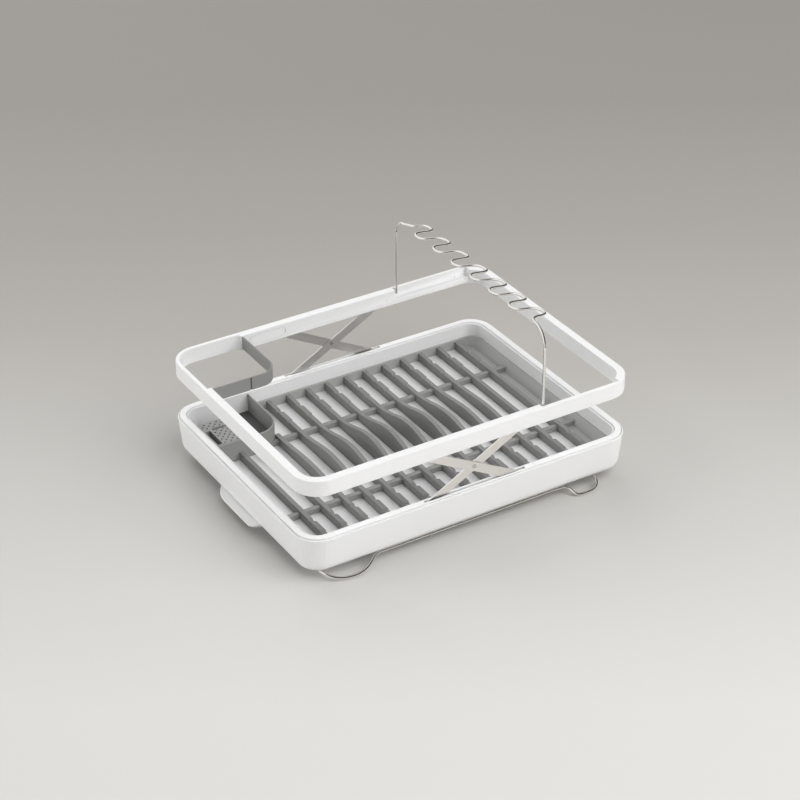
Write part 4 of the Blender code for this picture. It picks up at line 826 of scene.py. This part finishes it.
def make_floor():
    mesh = bpy.data.meshes.new("studio_floor")
    corners = [(x * FLOOR_HALF, y * FLOOR_HALF, 0.0) for x, y in ((-1, -1), (1, -1), (1, 1), (-1, 1))]
    mesh.from_pydata(corners, [], [(0, 1, 2, 3)])
    floor = bpy.data.objects.new("studio_floor", mesh)
    bpy.context.collection.objects.link(floor)
    shader = Shader("studio_floor")
    away = shader.node("ShaderNodeSeparateXYZ")
    shader.link(shader.position(turn=(0.0, 0.0, -CAMERA_AZIMUTH)), away.inputs["Vector"])
    nearest = FLOOR_PAINTED_FALLOFF[0][0]
    farthest = FLOOR_PAINTED_FALLOFF[-1][0]
    painted_falloff = shader.spread(away.outputs["Y"], 0.0, 1.0, nearest, farthest)
    ramp = shader.node("ShaderNodeValToRGB")
    stops = ramp.color_ramp.elements
    while len(stops) < len(FLOOR_PAINTED_FALLOFF):
        stops.new(0.5)
    for stop, (distance, colour) in zip(stops, FLOOR_PAINTED_FALLOFF):
        stop.position = (distance - nearest) / (farthest - nearest)
        stop.color = (*colour, 1.0)
    shader.link(painted_falloff, ramp.inputs["Fac"])
    shader.link(ramp.outputs["Color"], shader.surface.inputs["Base Color"])
    shader.set("Roughness", FLOOR_ROUGHNESS)
    shader.set("Specular IOR Level", FLOOR_SPECULAR)
    mesh.materials.append(shader.material)


def direction(azimuth, elevation):
    """From the rack towards a place round it, azimuth 0 in front."""
    level = math.cos(elevation)
    return Vector((math.sin(azimuth) * level, -math.cos(azimuth) * level, math.sin(elevation)))


def make_soft_box(name, azimuth, elevation, size, power):
    """A square area light that looks at the rack and doesn't show in gloss."""
    data = bpy.data.lights.new(name, "AREA")
    data.shape = "SQUARE"
    data.size = size
    data.energy = power
    lamp = bpy.data.objects.new(name, data)
    lamp.visible_glossy = False
    bpy.context.collection.objects.link(lamp)
    back = direction(math.radians(azimuth), math.radians(elevation))
    lamp.location = LIGHT_TARGET + back * LIGHT_DISTANCE
    lamp.rotation_euler = back.to_track_quat("Z", "Y").to_euler()


# Square area lights: name, azimuth and elevation in degrees, side in metres, power in watts. They are
# fitted to the levels in the photo's view.
LIGHTS = (
    ("key_front", 24.0, 42.0, 4.6, 190.0),
    ("fill_left", -110.0, 10.0, 3.0, 104.0),
    ("fill_back", 180.0, 40.0, 4.0, 84.0),
    ("fill_right", 90.0, 40.0, 2.4, 12.0),
)
LIGHT_DISTANCE = 4.0
LIGHT_TARGET = Vector((0.0, 0.0, 0.1))
AMBIENT = 0.11

# What glossy rays see in place of the lamps: a pattern with a bright side and a dark side, chosen in the photo's
# view so that the wires don't clip to white
GLOSS_DARK = 0.03
GLOSS_BRIGHT = 0.95
GLOSS_TURN = math.radians(35.0)
GLOSS_START = -0.45
GLOSS_END = 0.2


def make_world():
    """An even dim room for matt surfaces, and a room with a dark side for gloss."""
    world = bpy.data.worlds.new("studio")
    world.use_nodes = True
    tree = world.node_tree
    background = tree.nodes["Background"]
    background.inputs["Color"].default_value = (1.0, 1.0, 1.0, 1.0)
    coordinates = tree.nodes.new("ShaderNodeTexCoord")
    turned = tree.nodes.new("ShaderNodeMapping")
    turned.inputs["Rotation"].default_value = (0.0, 0.0, GLOSS_TURN)
    parts = tree.nodes.new("ShaderNodeSeparateXYZ")
    gloss = tree.nodes.new("ShaderNodeMapRange")
    gloss.inputs["From Min"].default_value = -GLOSS_START
    gloss.inputs["From Max"].default_value = -GLOSS_END
    gloss.inputs["To Min"].default_value = GLOSS_DARK
    gloss.inputs["To Max"].default_value = GLOSS_BRIGHT
    rays = tree.nodes.new("ShaderNodeLightPath")
    strength = tree.nodes.new("ShaderNodeMix")
    strength.inputs["A"].default_value = AMBIENT
    tree.links.new(coordinates.outputs["Generated"], turned.inputs["Vector"])
    tree.links.new(turned.outputs["Vector"], parts.inputs["Vector"])
    tree.links.new(parts.outputs["X"], gloss.inputs["Value"])
    tree.links.new(rays.outputs["Is Glossy Ray"], strength.inputs["Factor"])
    tree.links.new(gloss.outputs["Result"], strength.inputs["B"])
    tree.links.new(strength.outputs["Result"], background.inputs["Strength"])
    bpy.context.scene.world = world


def make_lights():
    make_world()
    for light in LIGHTS:
        make_soft_box(*light)


def make_camera():
    data = bpy.data.cameras.new("camera")
    data.lens = CAMERA_LENS
    data.sensor_width = CAMERA_SENSOR
    data.sensor_fit = "HORIZONTAL"
    data.dof.use_dof = False
    camera = bpy.data.objects.new("camera", data)
    bpy.context.collection.objects.link(camera)
    back = direction(CAMERA_AZIMUTH, CAMERA_ELEVATION)
    level = Vector((math.cos(CAMERA_AZIMUTH), math.sin(CAMERA_AZIMUTH), 0.0))
    upright = back.cross(level)
    right = level * math.cos(CAMERA_ROLL) + upright * math.sin(CAMERA_ROLL)
    up = upright * math.cos(CAMERA_ROLL) - level * math.sin(CAMERA_ROLL)
    place = CAMERA_TARGET + back * CAMERA_DISTANCE
    camera.matrix_world = Matrix(((right.x, up.x, back.x, place.x), (right.y, up.y, back.y, place.y),
                                  (right.z, up.z, back.z, place.z), (0.0, 0.0, 0.0, 1.0)))
    bpy.context.scene.camera = camera


make_floor()
make_lights()
make_camera()
bpy.context.scene.view_settings.view_transform = "Standard"
bpy.context.view_layer.update()
